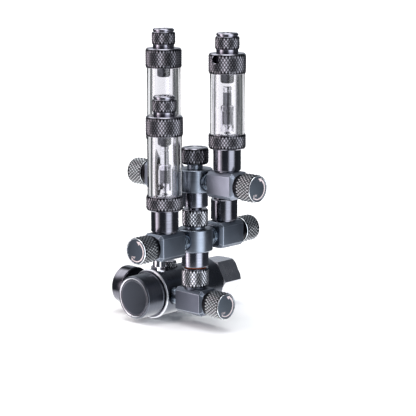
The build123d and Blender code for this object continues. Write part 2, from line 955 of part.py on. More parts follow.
def adaptors(arms):
    """Polished base fittings: thread in the block, foot, barrel, and head inside the tube."""
    return turned(
        [counter_frame(arm) for arm in arms],
        (head_bore, half_bar - adaptor_thread_length),
        (adaptor_thread, half_bar - adaptor_thread_length),
        (adaptor_thread, half_bar),
        (foot_radius, half_bar),
        (foot_radius, adaptor_z),
        (adaptor_radius - adaptor_chamfer, adaptor_z),
        (adaptor_radius, adaptor_z + adaptor_chamfer),
        (adaptor_radius, base_collar_z),
        (head_radius, base_collar_z),
        (head_radius, head_z),
        (head_bore, head_z),
    )


def base_collars(arms):
    """Knurled cups that hold the tubes' lower ends."""
    return turned(
        [counter_frame(arm) for arm in arms],
        (head_radius + thread_gap, base_collar_z),
        (collar_radius - collar_chamfer, base_collar_z),
        (collar_radius, base_collar_z + collar_chamfer),
        (collar_radius, tube_show_z - cup_rim),
        (collar_radius - cup_rim, tube_show_z),
        (tube_outer + thread_gap, tube_show_z),
        (tube_outer + thread_gap, cup_floor_z),
        (head_radius + thread_gap, cup_floor_z),
    )


def tubes(arms):
    """Clear tubes between the two collars."""
    return turned(
        [counter_frame(arm) for arm in arms],
        (tube_inner, tube_top_z - tube_length),
        (tube_outer, tube_top_z - tube_length),
        (tube_outer, tube_top_z),
        (tube_inner, tube_top_z),
    )


def top_collars(arms):
    """Knurled upper fittings: cup over the tube, stub inside it, vent hole and tube barb."""
    barb_top = counter_top_z + tube_nut_height - tube_hole_length - barb_inset
    vent_z = counter_top_z - vent_below_top
    with BuildPart() as collars:
        for arm in arms:
            frame = counter_frame(arm)
            revolve(
                outline(
                    frame,
                    (barb_bore, top_collar_z - stub_drop),
                    (stub_radius - stub_chamfer, top_collar_z - stub_drop),
                    (stub_radius, top_collar_z - stub_drop + stub_chamfer),
                    (stub_radius, top_collar_z + stub_root),
                    (head_radius, top_collar_z + stub_root),
                    (head_radius, tube_top_z + thread_gap),
                    (tube_outer + thread_gap, tube_top_z + thread_gap),
                    (tube_outer + thread_gap, top_collar_z),
                    (collar_radius - cup_rim, top_collar_z),
                    (collar_radius, top_collar_z + cup_rim),
                    (collar_radius, counter_top_z - collar_chamfer),
                    (collar_radius - collar_chamfer, counter_top_z),
                    (neck_thread, counter_top_z),
                    (neck_thread, counter_top_z + neck_length),
                    (barb_radius, counter_top_z + neck_length),
                    (barb_radius, barb_top),
                    (barb_bore, barb_top),
                ),
                axis=axis_of(frame),
            )
            side = Plane(frame.origin + up * vent_z, x_dir=up, z_dir=frame.x_dir)
            extrude(disc(side, 0, vent_radius), amount=collar_radius, mode=Mode.SUBTRACT)
            countersink = outline(
                side,
                (0, collar_radius - vent_chamfer),
                (vent_radius, collar_radius - vent_chamfer),
                (vent_radius + 2 * vent_chamfer, collar_radius + vent_chamfer),
                (0, collar_radius + vent_chamfer),
            )
            revolve(countersink, axis=axis_of(side), mode=Mode.SUBTRACT)
    return collars


# Each tower: the foot of its skirt, and how far its stem stands out of the skirt
skirt_z = head_z + riser_base_height + skirt_lift
towers = {
    "a": (skirt_z - tower_drop_a, short_stem),
    "b": (skirt_z + tower_raise_b, tower_stem),
    "c": (skirt_z, tower_stem),
}


def risers(arms):
    """The bubble towers: cone foot, thin post, and the stem that carries the skirt."""
    plug_radius_in_skirt = skirt_radius - skirt_wall - riser_play
    base_top = head_z + riser_base_height
    with BuildPart() as posts:
        for arm in arms:
            frame = counter_frame(arm)
            skirt_foot, stem = towers[arm]
            plug_foot = skirt_foot + window_height + riser_plug_lift
            plug_top = skirt_foot + skirt_height - skirt_cap - riser_play
            stem_top = skirt_foot + skirt_height + stem
            revolve(
                outline(
                    frame,
                    (0, head_z),
                    (riser_base_radius, head_z),
                    (riser_base_radius, base_top),
                    (riser_cone_radius, base_top + riser_cone_height),
                    (riser_post_radius, base_top + riser_post_foot),
                    (riser_post_radius, plug_foot),
                    (plug_radius_in_skirt, plug_foot),
                    (plug_radius_in_skirt, plug_top),
                    (stem_tip_radius, plug_top),
                    (stem_tip_radius, stem_top - small_chamfer),
                    (stem_tip_radius - small_chamfer, stem_top),
                    (0, stem_top),
                ),
                axis=axis_of(frame),
            )
    return posts


def skirts(arms):
    """Clear sleeves round the towers, with an arched window at the foot of each."""
    with BuildPart() as sleeves:
        for arm in arms:
            frame = counter_frame(arm)
            skirt_foot = towers[arm][0]
            skirt_top = skirt_foot + skirt_height
            revolve(
                outline(
                    frame,
                    (skirt_radius - skirt_wall, skirt_foot),
                    (skirt_radius, skirt_foot),
                    (skirt_radius, skirt_top - skirt_chamfer),
                    (skirt_radius - skirt_chamfer, skirt_top),
                    (stem_tip_radius + riser_play, skirt_top),
                    (stem_tip_radius + riser_play, skirt_top - skirt_cap),
                    (skirt_radius - skirt_wall, skirt_top - skirt_cap),
                ),
                axis=axis_of(frame),
            )
            face = Plane(frame.origin, x_dir=frame.x_dir, z_dir=frame.x_dir.cross(frame.z_dir))
            arch = skirt_foot + window_height - window_radius
            with BuildSketch(face):
                with Locations((0, arch)):
                    Circle(window_radius)
                with Locations((0, skirt_foot)):
                    Rectangle(2 * window_radius, 2 * (arch - skirt_foot))
            extrude(amount=skirt_radius * 2, both=True, mode=Mode.SUBTRACT)
    return sleeves


def tube_nut(arm, seat):
    """A knurled nut that clamps the outlet tube, with the hole that the tube passes through."""
    top = seat + tube_nut_height
    band_foot = seat + tube_nut_lip_height
    band_top = top - tube_nut_top_height
    return turned(
        [counter_frame(arm)],
        (neck_thread + nut_gap, seat),
        (tube_nut_lip, seat),
        (tube_nut_lip, band_foot),
        (tube_nut_radius - tube_nut_chamfer, band_foot),
        (tube_nut_radius, band_foot + tube_nut_chamfer),
        (tube_nut_radius, band_top - tube_nut_chamfer),
        (tube_nut_radius - tube_nut_chamfer, band_top),
        (tube_nut_lip - tube_nut_chamfer, band_top),
        (tube_nut_lip - tube_nut_chamfer, band_top + tube_nut_chamfer),
        (tube_nut_lip, band_top + tube_nut_rim),
        (tube_nut_lip, top - tube_nut_rim),
        (tube_nut_lip - tube_nut_rim, top),
        (tube_hole, top),
        (tube_hole, top - tube_hole_length),
        (neck_thread + nut_gap, top - tube_hole_length - tube_nut_cone),
    )


for level, arms in (("upper", "ac"), ("lower", "b")):
    save(adaptors(arms), f"{level}_adaptors")
    save(base_collars(arms), f"{level}_base_collars")
    save(tubes(arms), f"{level}_tubes")
    save(top_collars(arms), f"{level}_top_collars")
    save(risers(arms), f"{level}_risers")
    save(skirts(arms), f"{level}_skirts")
for arm in "abc":
    save(tube_nut(arm, counter_top_z), f"tube_nut_{arm}")

# Check valve on arm d, with the same kind of tube nut
check_valve_top = base_collar_z + tube_nut_height - tube_hole_length - barb_inset
check_valve_d = turned(
    [counter_frame("d")],
    (barb_bore, half_bar - adaptor_thread_length),
    (adaptor_thread, half_bar - adaptor_thread_length),
    (adaptor_thread, half_bar),
    (foot_radius, half_bar),
    (foot_radius, adaptor_z),
    (adaptor_radius - adaptor_chamfer, adaptor_z),
    (adaptor_radius, adaptor_z + adaptor_chamfer),
    (adaptor_radius, base_collar_z - adaptor_chamfer),
    (adaptor_radius - adaptor_chamfer, base_collar_z),
    (neck_thread, base_collar_z),
    (neck_thread, base_collar_z + neck_length),
    (barb_radius, base_collar_z + neck_length),
    (barb_radius, check_valve_top),
    (barb_bore, check_valve_top),
)
save(check_valve_d, "check_valve_d")
save(tube_nut("d", base_collar_z), "tube_nut_d")
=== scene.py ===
"""Dresses the carbon dioxide regulator and its splitter column.

Sizes are in millimetres and turn into metres where a mesh is put in its place.
"""

import logging
import math
from collections.abc import Iterable, Sequence
from dataclasses import dataclass
from enum import Enum
from functools import cache, partial
from typing import Any

import bmesh
import bpy
from mathutils import Matrix, Vector


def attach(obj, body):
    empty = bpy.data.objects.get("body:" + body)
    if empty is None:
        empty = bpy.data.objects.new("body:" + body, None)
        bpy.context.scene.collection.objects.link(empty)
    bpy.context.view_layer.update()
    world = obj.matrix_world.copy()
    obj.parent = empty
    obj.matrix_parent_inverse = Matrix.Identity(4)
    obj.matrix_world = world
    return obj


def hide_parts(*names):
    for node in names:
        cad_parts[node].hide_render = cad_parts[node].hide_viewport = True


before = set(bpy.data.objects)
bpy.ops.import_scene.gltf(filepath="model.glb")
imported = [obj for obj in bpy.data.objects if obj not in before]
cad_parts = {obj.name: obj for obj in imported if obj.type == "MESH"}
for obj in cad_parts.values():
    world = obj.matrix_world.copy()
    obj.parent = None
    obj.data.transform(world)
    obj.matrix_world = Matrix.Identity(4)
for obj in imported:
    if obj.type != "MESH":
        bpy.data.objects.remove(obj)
log = logging.getLogger("regulator")

Outline = list[tuple[float, float]]
Span = tuple[float, float]
Triple = tuple[float, float, float]
Mesh = bmesh.types.BMesh
Material = bpy.types.Material
Node = bpy.types.Node
Socket = bpy.types.NodeSocket
Thing = bpy.types.Object
Tree = bpy.types.NodeTree

MM = 0.001
SMOOTH_ANGLE = math.radians(35)
# Where the column, its arms and the barrel's side fittings stand
CROSS_X = -68.0
COLUMN_Y = -34.0
ARM_REACH = 28.75
FITTING_SEAT = 14.85
PORT_FOOT = 10.5
# A base fitting's radius, and heights over an arm's axis: its collar seat, and the counter's crown
FITTING_RADIUS = 9.05
COLLAR_SEAT = 23.8
COUNTER_CROWN = 85.65
# Where most of a noise's values lie, how far rings are drawn out, and how deep the relief of a surface is
NOISE_SPAN = (0.3, 0.7)
RING_STRETCH = 0.02
RELIEF_MM = 0.02
# Lengths in mm: what counts as nothing, and how near points are before they become one
TINY = 1e-6
WELD = 1e-4
KNURL_WELD = 5e-4
SKIN_WELD = 2e-3
HEXAGON_WELD = 0.01
# How much of a short edge a corner's rounding takes at most, and where along it its points are
CORNER_SHARE = 0.4
CORNER_STEPS = (0.0, 0.33, 0.67, 1.0)
# The finish number of a block's arrises, lighter for wear and as a painted highlight
ARRIS_INDEX = 2


class Direction(Enum):
    """The row's axes, for the grain of a turned or milled surface."""

    X = 0
    Y = 1
    Z = 2


@dataclass(frozen=True)
class Place:
    """A frame on the object: origin in mm, and its x and z directions."""

    origin: Triple
    x_dir: Triple
    z_dir: Triple

    def matrix(self) -> Matrix:
        """Local millimetres to the row's metres."""
        x, z = Vector(self.x_dir), Vector(self.z_dir)
        turn = Matrix((x, z.cross(x), z)).transposed().to_4x4()
        return Matrix.Translation(Vector(self.origin) * MM) @ turn @ Matrix.Scale(MM, 4)


BARREL = Place((CROSS_X, 0, 0), (0, 0, 1), (-1, 0, 0))
OUTLET_PORT = Place((CROSS_X, 0, 0), (1, 0, 0), (0, -1, 0))
GAUGE_PORT = Place((CROSS_X, 0, 0), (-1, 0, 0), (0, 1, 0))
RELIEF_PORT = Place((CROSS_X, 0, 0), (1, 0, 0), (0, 0, 1))
PLUG_PORT = Place((CROSS_X + 11.5, 0, 0), (1, 0, 0), (0, 0, 1))
COLUMN = Place((CROSS_X, COLUMN_Y, 0), (1, 0, 0), (0, 0, 1))
OUTLET_ARM = Place((CROSS_X, COLUMN_Y, 0), (1, 0, 0), (0, -1, 0))


@dataclass(frozen=True)
class Arm:
    """A needle valve arm: which way it points and how high it is."""

    out: tuple[int, int]
    height: float

    def origin(self) -> Triple:
        """The point where the counter's axis crosses the arm's."""
        x, y = self.out
        return CROSS_X + x * ARM_REACH, COLUMN_Y + y * ARM_REACH, self.height

    def place(self) -> Place:
        """The frame on the arm's axis."""
        x, y = self.out
        return Place(self.origin(), (-y, x, 0), (x, y, 0))

    def upright(self) -> Place:
        """The upright frame at the same point, with its x direction to the vent's side."""
        x, y = self.out
        return Place(self.origin(), (y, -x, 0), (0, 0, 1))


UPPER_HEIGHT = 82.1
LOWER_HEIGHT = 41.8
ARMS = {
    "a": Arm((0, 1), UPPER_HEIGHT), "b": Arm((-1, 0), LOWER_HEIGHT),
    "c": Arm((0, -1), UPPER_HEIGHT), "d": Arm((1, 0), LOWER_HEIGHT),
}
LEVELS = {"upper": "ac", "lower": "bd"}


# Node trees

def add_node(tree: Tree, kind: str, links: dict[Any, Any] | None = None, **settings: Any) -> Node:
    """Adds a node, sets its properties and feeds its inputs.

    Args:
        tree: The tree that gets the node.
        kind: The node's type.
        links: Input name or number to a value, or to an output socket that feeds it.
        settings: The node's own properties.

    Returns:
        The node.
    """
    node = tree.nodes.new(kind)
    for key, value in settings.items():
        setattr(node, key, value)
    for key, value in (links or {}).items():
        socket = node.inputs[key]
        if isinstance(value, Socket):
            tree.links.new(value, socket)
        else:
            socket.default_value = value
    return node


def result_of(tree: Tree, operation: str, *values: Any) -> Socket:
    """The result of one sum in a tree, from numbers or sockets."""
    return add_node(tree, "ShaderNodeMath", dict(enumerate(values)), operation=operation).outputs[0]


def linear(colour: str) -> tuple[float, float, float, float]:
    """An sRGB hex colour as linear red, green, blue and alpha."""
    parts = [int(colour[k:k + 2], 16) / 255 for k in (1, 3, 5)]
    red, green, blue = (p / 12.92 if p <= 0.04045 else ((p + 0.055) / 1.055) ** 2.4 for p in parts)
    return red, green, blue, 1.0


def about(middle: float, reach: float) -> Span:
    """The range that reaches as far to either side of its middle."""
    return middle - reach, middle + reach


class Surface:
    """A material in the making, with the node chains that the finishes share."""

    def __init__(self, name: str) -> None:
        """Starts an empty material."""
        self.material = bpy.data.materials.new(name)
        self.material.use_nodes = True
        self.tree = self.material.node_tree
        self.tree.nodes.clear()
        self.coords = add_node(self.tree, "ShaderNodeTexCoord").outputs["Object"]

    def noise(self, size_mm: float, detail: float) -> Socket:
        """Even noise of one size."""
        return add_node(self.tree, "ShaderNodeTexNoise", {
            "Vector": self.coords, "Scale": 1 / (size_mm * MM), "Detail": detail,
        }).outputs[0]

    def rings(self, size_mm: float, grain: Direction) -> Socket:
        """Noise that is drawn out into rings round an axis."""
        stretch = [RING_STRETCH / (size_mm * MM)] * 3
        stretch[grain.value] = 1 / (size_mm * MM)
        drawn = add_node(self.tree, "ShaderNodeMapping", {"Vector": self.coords, "Scale": stretch}).outputs[0]
        return add_node(self.tree, "ShaderNodeTexNoise", {
            "Vector": drawn, "Scale": 1.0, "Detail": 2.0,
        }).outputs[0]

    def spread(self, value: Socket, source: Span, target: Span = (0.0, 1.0)) -> Socket:
        """Takes a value from one range to another."""
        return add_node(self.tree, "ShaderNodeMapRange", {
            "Value": value, "From Min": source[0], "From Max": source[1],
            "To Min": target[0], "To Max": target[1],
        }).outputs[0]

    def relief(self, height: Socket, strength: float) -> Socket:
        """A very fine bump from a noise."""
        return add_node(self.tree, "ShaderNodeBump", {
            "Strength": strength, "Distance": RELIEF_MM * MM, "Height": height,
        }).outputs[0]

    def tinted(self, colour: str, grain: Socket, tint: Span) -> Socket:
        """A colour that a noise makes lighter and darker."""
        return add_node(self.tree, "ShaderNodeVectorMath", {
            0: linear(colour)[:3], "Scale": self.spread(grain, NOISE_SPAN, tint),
        }, operation="SCALE").outputs[0]

    def mixed(self, share: Socket, low: str, high: str) -> Socket:
        """A colour between two others."""
        return add_node(self.tree, "ShaderNodeMix", {
            0: share, 6: linear(low), 7: linear(high),
        }, data_type="RGBA").outputs[2]

    def metal(
        self, finish: "TurnedMetal | BlastedMetal", grain: Socket, depth: float, patch: Socket
    ) -> Material:
        """Metal with a grain in its colour and its relief, and smudges in its shine.

        Args:
            finish: Its colours and ranges.
            grain: The grain's noise.
            depth: The relief's strength.
            patch: The smudges' noise.

        Returns:
            The finished material.
        """
        return self.shaded({
            "Base Color": self.tinted(finish.colour, grain, finish.tint), "Metallic": 1.0,
            "Roughness": self.spread(patch, NOISE_SPAN, about(finish.roughness, finish.smudge)),
            "Normal": self.relief(grain, depth),
        })

    def shaded(self, inputs: dict[str, Any], kind: str = "ShaderNodeBsdfPrincipled") -> Material:
        """Feeds the shader and joins it to the output.

        Args:
            inputs: The shader's inputs.
            kind: The shader's type.

        Returns:
            The finished material.
        """
        shader = add_node(self.tree, kind, inputs)
        add_node(self.tree, "ShaderNodeOutputMaterial", {0: shader.outputs[0]})
        return self.material


@dataclass(frozen=True)
class TurnedMetal:
    """Turned and anodised or plated metal: fine rings round the axis that stretch its highlights."""

    name: str
    colour: str
    roughness: float
    grain: Direction = Direction.Z
    ring_mm: float = 0.35
    ring_depth: float = 0.25
    smudge: float = 0.05
    smudge_mm: float = 9.0
    tint: Span = (0.85, 1.12)

    def material(self) -> Material:
        """Builds the material."""
        surface = Surface(self.name)
        rings = surface.rings(self.ring_mm, self.grain)
        return surface.metal(self, rings, self.ring_depth, surface.noise(self.smudge_mm, 3.0))


@dataclass(frozen=True)
class BlastedMetal:
    """Milled, bead blasted and anodised metal: a very fine grain that turns highlights to a satin."""

    name: str
    colour: str
    roughness: float
    grit_mm: float = 0.25
    grit_depth: float = 0.2
    smudge: float = 0.05
    smudge_mm: float = 7.0
    tint: Span = (0.9, 1.08)

    def material(self) -> Material:
        """Builds the material."""
        surface = Surface(self.name)
        grit = surface.noise(self.grit_mm, 3.0)
        return surface.metal(self, grit, self.grit_depth, surface.noise(self.smudge_mm, 4.0))


@dataclass(frozen=True)
class KnurledMetal:
    """Pressed diamond knurl: bright tips over dark grooves, the tips lighter for wear and as a painted
    highlight, the grooves darkened as painted shade. The tips are real geometry.
    """

    name: str
    groove: str
    tip: str
    roughness: float
    grit_mm: float = 0.3
    wear: float = 0.6
    wear_sheen_and_shade_span: Span = (0.35, 1.25)
    smudge: float = 0.08

    def material(self) -> Material:
        """Builds the material."""
        surface = Surface(self.name)
        peak = add_node(surface.tree, "ShaderNodeAttribute", attribute_name="peak").outputs["Fac"]
        grit = surface.noise(self.grit_mm, 3.0)
        # The colour runs from the groove colour, painted shade in the hollows, to the tip colour, lighter for
        # wear and as a painted highlight
        wear_sheen_and_shade = result_of(surface.tree, "MULTIPLY_ADD", grit, self.wear, peak)
        height = surface.spread(wear_sheen_and_shade, self.wear_sheen_and_shade_span)
        return surface.shaded({
            "Base Color": surface.mixed(height, self.groove, self.tip), "Metallic": 1.0,
            "Roughness": surface.spread(grit, NOISE_SPAN, about(self.roughness, self.smudge)),
        })


@dataclass(frozen=True)
class ClearPlastic:
    """Polished clear acrylic or lens: colourless, with a trace of handling haze."""

    name: str
    colour: str
    roughness: float = 0.002
    haze_mm: float = 5.0
    haze_gain: float = 2.5
    index: float = 1.49

    def material(self) -> Material:
        """Builds the material."""
        surface = Surface(self.name)
        haze = surface.noise(self.haze_mm, 2.0)
        return surface.shaded({
            "Base Color": linear(self.colour), "IOR": self.index, "Transmission Weight": 1.0,
            "Roughness": surface.spread(haze, (0.4, 0.75), (self.roughness, self.haze_gain * self.roughness)),
        })


@dataclass(frozen=True)
class Matt:
    """Paint, ink, rubber, fibre and sintered parts: not metallic, with a soft mottle."""

    name: str
    colour: str
    dark: str
    roughness: float
    grain_mm: float = 0.6
    grain_depth: float = 0.15

    def material(self) -> Material:
        """Builds the material."""
        surface = Surface(self.name)
        grain = surface.noise(self.grain_mm, 3.0)
        mottle = surface.spread(grain, about(0.5, 0.15))
        return surface.shaded({
            "Base Color": surface.mixed(mottle, self.dark, self.colour), "Roughness": self.roughness,
            "Normal": surface.relief(grain, self.grain_depth),
        })


Finish = TurnedMetal | BlastedMetal | KnurledMetal | ClearPlastic | Matt

BODY = TurnedMetal("anodised_barrel", "#53565E", 0.30, Direction.X)
COVER = BlastedMetal("slate_disc", "#383D44", 0.42)
FLANGE = TurnedMetal("bare_flange", "#B4B6BC", 0.30, Direction.X)
MANIFOLD = TurnedMetal("anodised_manifold", "#767D88", 0.34)
NECK = TurnedMetal("polished_neck", "#7A7C86", 0.20)
# One anodised block colour in three copies as light and shade: lighter on the upper blocks, painted shade on
# the lower blocks, deeper painted shade on the outlet block
BLOCK_UPPER_PAINTED_LIGHT = BlastedMetal("anodised_block_painted_light", "#7C818D", 0.50)
BLOCK_LOWER_PAINTED_SHADE = BlastedMetal("anodised_block_painted_shade", "#5E6570", 0.50)
BLOCK_OUTLET_PAINTED_SHADE = BlastedMetal("anodised_block_painted_deep_shade", "#50555F", 0.50)
# The arrises' finish: lighter than the blocks, partly wear and partly a painted highlight along the edges
ARRIS_WEAR_AND_HIGHLIGHT = TurnedMetal("arris_wear_and_painted_highlight", "#7E848F", 0.40)
STEM_X = TurnedMetal("anodised_stem_x", "#68727E", 0.25, Direction.X)
STEM_Y = TurnedMetal("anodised_stem_y", "#68727E", 0.25, Direction.Y)
BLACK = TurnedMetal("black_fitting", "#66666E", 0.17)
GAUGE = TurnedMetal("black_gauge_case", "#46454C", 0.22, Direction.Y)
GAUGE_SIDE = TurnedMetal("polished_gauge_side", "#63626A", 0.14, Direction.Y)
# Knurled finishes give the groove colour, darkened as painted shade, and then the tip colour, lightened for
# wear and as a painted highlight
KNURL = KnurledMetal("knurled_collar", "#252528", "#8C8B93", 0.38)
RIM = TurnedMetal("turned_rim", "#7E7D86", 0.22)
RING_KNURL = KnurledMetal("knurled_ring", "#33343A", "#C2C4CA", 0.33)
# One knob knurl in two copies by the knob's axis, as light and shade: tips painted lighter on knobs along x
# and darker on knobs along y
KNOB_KNURL_Y_PAINTED_SHADE = KnurledMetal("knurled_knob_y_painted_shade", "#17191C", "#B0B4B8", 0.34)
KNOB_KNURL_X_PAINTED_LIGHT = KnurledMetal("knurled_knob_x_painted_light", "#15171A", "#BEC2C8", 0.36)
KNOB_RIM = TurnedMetal("polished_knob_rim", "#B6BABF", 0.18)
# One slate knob face in two copies by the knob's axis, as light and shade: painted lighter on knobs along y,
# painted shade on knobs along x
KNOB_FACE_Y_PAINTED_LIGHT = BlastedMetal("slate_knob_face_y_painted_light", "#646C76", 0.55)
KNOB_FACE_X_PAINTED_SHADE = BlastedMetal("slate_knob_face_x_painted_shade", "#3E464F", 0.50)
INK = Matt("pale_print", "#D8CBCD", "#C6BABC", 0.55)
NICKEL = TurnedMetal("polished_nickel", "#C4C4CA", 0.10)
NICKEL_X = TurnedMetal("satin_nickel_x", "#B4B4BA", 0.26, Direction.X)
STEEL = TurnedMetal("turned_steel", "#8E8E92", 0.25, Direction.X)
WIRE = TurnedMetal("spring_wire", "#7C7C80", 0.30, Direction.X)
TOWER = TurnedMetal("tower_metal", "#7C7E84", 0.38)
TOWER_TIP = TurnedMetal("bright_tower_metal", "#ECEDF0", 0.12)
STUB = TurnedMetal("dark_stub", "#54555B", 0.42)
BRASS = TurnedMetal("turned_brass", "#C0A05A", 0.25, Direction.X)
GLAND = TurnedMetal("black_gland", "#17171A", 0.35)
ACRYLIC = ClearPlastic("clear_acrylic", "#F8F7FB")
LENS = ClearPlastic("clear_lens", "#F8FAFA")
RUBBER = Matt("moulded_rubber", "#141414", "#0C0C0C", 0.75)
NYLON = Matt("white_nylon", "#E4E2D8", "#D8D5C9", 0.50)
FIBRE = Matt("orange_fibre", "#9C4A1A", "#6E2E0C", 0.70)
BRONZE = Matt("sintered_bronze", "#7E6340", "#4E3C26", 0.60, 0.25)
DIAL = Matt("white_enamel", "#ECECE8", "#E4E4E0", 0.35)
BLACK_INK = Matt("black_print", "#101012", "#0B0B0C", 0.45)


@cache
def material_of(finish: Finish) -> Material:
    """The finish's material, built once."""
    return finish.material()


# Shapes, in local millimetres

def blank_mesh() -> Mesh:
    """An empty mesh that holds the knurl's peaks."""
    mesh = bmesh.new()
    mesh.verts.layers.float.new("peak")
    return mesh


def polar(radius: float, angle: float) -> tuple[float, float]:
    """The point at a radius and an angle."""
    return radius * math.cos(angle), radius * math.sin(angle)


def reach_of(face: bmesh.types.BMFace) -> float:
    """How far a face's middle lies from the local z axis."""
    middle = face.calc_center_median()
    return math.hypot(middle.x, middle.y)


def linked(name: str, data: bpy.types.ID) -> Thing:
    """A new object in the scene that holds this data."""
    thing = bpy.data.objects.new(name, data)
    bpy.context.scene.collection.objects.link(thing)
    return thing


def pour(part: Mesh, target: Mesh, matrix: Matrix) -> None:
    """Adds a mesh to another.

    Args:
        part: The mesh. It is used up.
        target: The mesh that takes it.
        matrix: From the part's frame to the target's.
    """
    data = bpy.data.meshes.new("part")
    part.to_mesh(data)
    part.free()
    data.transform(matrix)
    target.from_mesh(data)
    bpy.data.meshes.remove(data)


def softened(outline: Outline, size: float, closed: bool) -> Outline:
    """Rounds the corners of an outline, as a deburred edge is.

    Args:
        outline: (radius, height) points.
        size: How far the rounding reaches along each edge.
        closed: Whether the last point joins the first.

    Returns:
        The outline with a short curve at each corner off the axis.
    """
    points: Outline = []
    count = len(outline)
    for k, (radius, height) in enumerate(outline):
        here = Vector((radius, height))
        ends = not closed and k in (0, count - 1)
        before, after = Vector(outline[k - 1]) - here, Vector(outline[(k + 1) % count]) - here
        if ends or min(radius, before.length, after.length) < TINY:
            points.append((radius, height))
            continue
        reach = min(size, CORNER_SHARE * before.length, CORNER_SHARE * after.length)
        start, end = here + before.normalized() * reach, here + after.normalized() * reach
        for t in CORNER_STEPS:
            p = start * (1 - t) ** 2 + here * (2 * t * (1 - t)) + end * t ** 2
            points.append((p.x, p.y))
    return points


def turned(outline: Outline, around: int = 128, soften: float = 0.15, closed: bool = True) -> Mesh:
    """Turns an outline about the local z axis.

    Args:
        outline: (radius, height) points.
        around: Faces round the axis.
        soften: How far the corners' rounding reaches.
        closed: Whether the outline closes on itself.

    Returns:
        The mesh, with its faces outwards if it is closed.
    """
    mesh = blank_mesh()
    rings = []
    for radius, height in softened(outline, soften, closed):
        steps = 1 if radius < TINY else around
        spots = [polar(radius, 2 * math.pi * k / steps) for k in range(steps)]
        rings.append([mesh.verts.new((x, y, height)) for x, y in spots])
    pairs = list(zip(rings, rings[1:] + rings[:1])) if closed else list(zip(rings, rings[1:]))
    for low, high in pairs:
        if len(low) == 1 and len(high) == 1:
            continue
        for k in range(around):
            corners = [low[k % len(low)], low[(k + 1) % len(low)],
                       high[(k + 1) % len(high)], high[k % len(high)]]
            mesh.faces.new(list(dict.fromkeys(corners)))
    bmesh.ops.remove_doubles(mesh, verts=mesh.verts, dist=WELD)
    if closed:
        bmesh.ops.recalc_face_normals(mesh, faces=mesh.faces)
    return mesh


def bar(radius: float, bottom: float, top: float) -> Outline:
    """A plain round bar's outline."""
    return [(0, bottom), (radius, bottom), (radius, top), (0, top)]


def fitting_foot(bore: float) -> Outline:
    """The foot that the base fittings and the check valve share, from their bore to their full radius."""
    spigot, shoulder = 4.0, 7.7
    foot, ledge, seat = 4.2, 8.8, 9.5
    return [
        (bore, foot), (spigot, foot), (spigot, ledge), (shoulder, ledge), (shoulder, seat),
        (FITTING_RADIUS - 0.5, seat), (FITTING_RADIUS, seat + 0.5),
    ]


def prism(points: Sequence[tuple[float, float]], bottom: float, top: float) -> Mesh:
    """A flat outline raised along z into a closed solid."""
    mesh = blank_mesh()
    low = [mesh.verts.new((x, y, bottom)) for x, y in points]
    high = [mesh.verts.new((x, y, top)) for x, y in points]
    mesh.faces.new(low)
    mesh.faces.new(high)
    for k in range(len(points)):
        after = (k + 1) % len(points)
        mesh.faces.new((low[k], low[after], high[after], high[k]))
    bmesh.ops.recalc_face_normals(mesh, faces=mesh.faces)
    return mesh


def hexagon(across: float, bottom: float, top: float, corner: float, soften: float = 0.2) -> Mesh:
    """A hexagon bar with turned corners.

    Args:
        across: Width across the flats.
        bottom: Lower end.
        top: Upper end.
        corner: How far the turned corners reach down from each end.
        soften: Width of the rounded edges.

    Returns:
        The solid.
    """
    radius = across / math.sqrt(3)
    body = prism([polar(radius, math.radians(60 * k + 30)) for k in range(6)], bottom, top)
    outer = [(0, bottom), (radius - corner, bottom), (radius + corner, bottom + 2 * corner),
             (radius + corner, top - 2 * corner), (radius - corner, top), (0, top)]
    body = combined(body, [turned(outer, 96, 0)], "INTERSECT")
    bmesh.ops.remove_doubles(body, verts=body.verts, dist=HEXAGON_WELD)
    bmesh.ops.dissolve_limit(body, angle_limit=0.01, verts=body.verts, edges=body.edges)
    upright = [e for e in body.edges if abs((e.verts[0].co - e.verts[1].co).normalized().z) > 0.99]
    bmesh.ops.bevel(body, geom=upright, offset=soften, segments=2, profile=0.5, affect="EDGES")
    return body


def needle_bar(
    half: float, corner: float, start: float, end: float, bevel: float, arris: float = 0.26
) -> Mesh:
    """A square bar along z with chamfered edges and ends, and soft arrises painted lighter, for wear and as a
    highlight.

    Args:
        half: Half its width.
        corner: Chamfer along its four edges.
        start: Inner end.
        end: Outer end.
        bevel: Chamfer round its two ends.
        arris: Width of the lighter arrises.

    Returns:
        The solid.
    """
    mesh = blank_mesh()
    slant = (2 * half - corner) / math.sqrt(2)
    sections = []
    for height, inset in ((start, bevel), (start + bevel, 0.0), (end - bevel, 0.0), (end, bevel)):
        side = half - inset
        other = math.sqrt(2) * (slant - inset) - side
        octagon = [(side, -other), (side, other), (other, side), (-other, side),
                   (-side, other), (-side, -other), (-other, -side), (other, -side)]
        sections.append([mesh.verts.new((x, y, height)) for x, y in octagon])
    for low, high in zip(sections, sections[1:]):
        for k in range(8):
            mesh.faces.new((low[k], low[(k + 1) % 8], high[(k + 1) % 8], high[k]))
    mesh.faces.new(sections[0])
    mesh.faces.new(sections[-1])
    bmesh.ops.recalc_face_normals(mesh, faces=mesh.faces)
    rounded = bmesh.ops.bevel(mesh, geom=mesh.edges[:], offset=arris, segments=2, profile=0.5, affect="EDGES")
    # The rounded arrises take the lighter arris finish: wear and a painted highlight
    for face in rounded["faces"]:
        face.material_index = ARRIS_INDEX
    return mesh


def temporary(mesh: Mesh, name: str) -> Thing:
    """A short-lived object for a modifier to work on."""
    data = bpy.data.meshes.new(name)
    mesh.to_mesh(data)
    mesh.free()
    return linked(name, data)


def evaluated(thing: Thing) -> Mesh:
    """The object's mesh with its modifiers applied. The object is removed."""
    depsgraph = bpy.context.evaluated_depsgraph_get()
    final = thing.evaluated_get(depsgraph)
    data = bpy.data.meshes.new_from_object(final, preserve_all_data_layers=True, depsgraph=depsgraph)
    mesh = bmesh.new()
    mesh.from_mesh(data)
    bpy.data.meshes.remove(data)
    discard(thing)
    return mesh


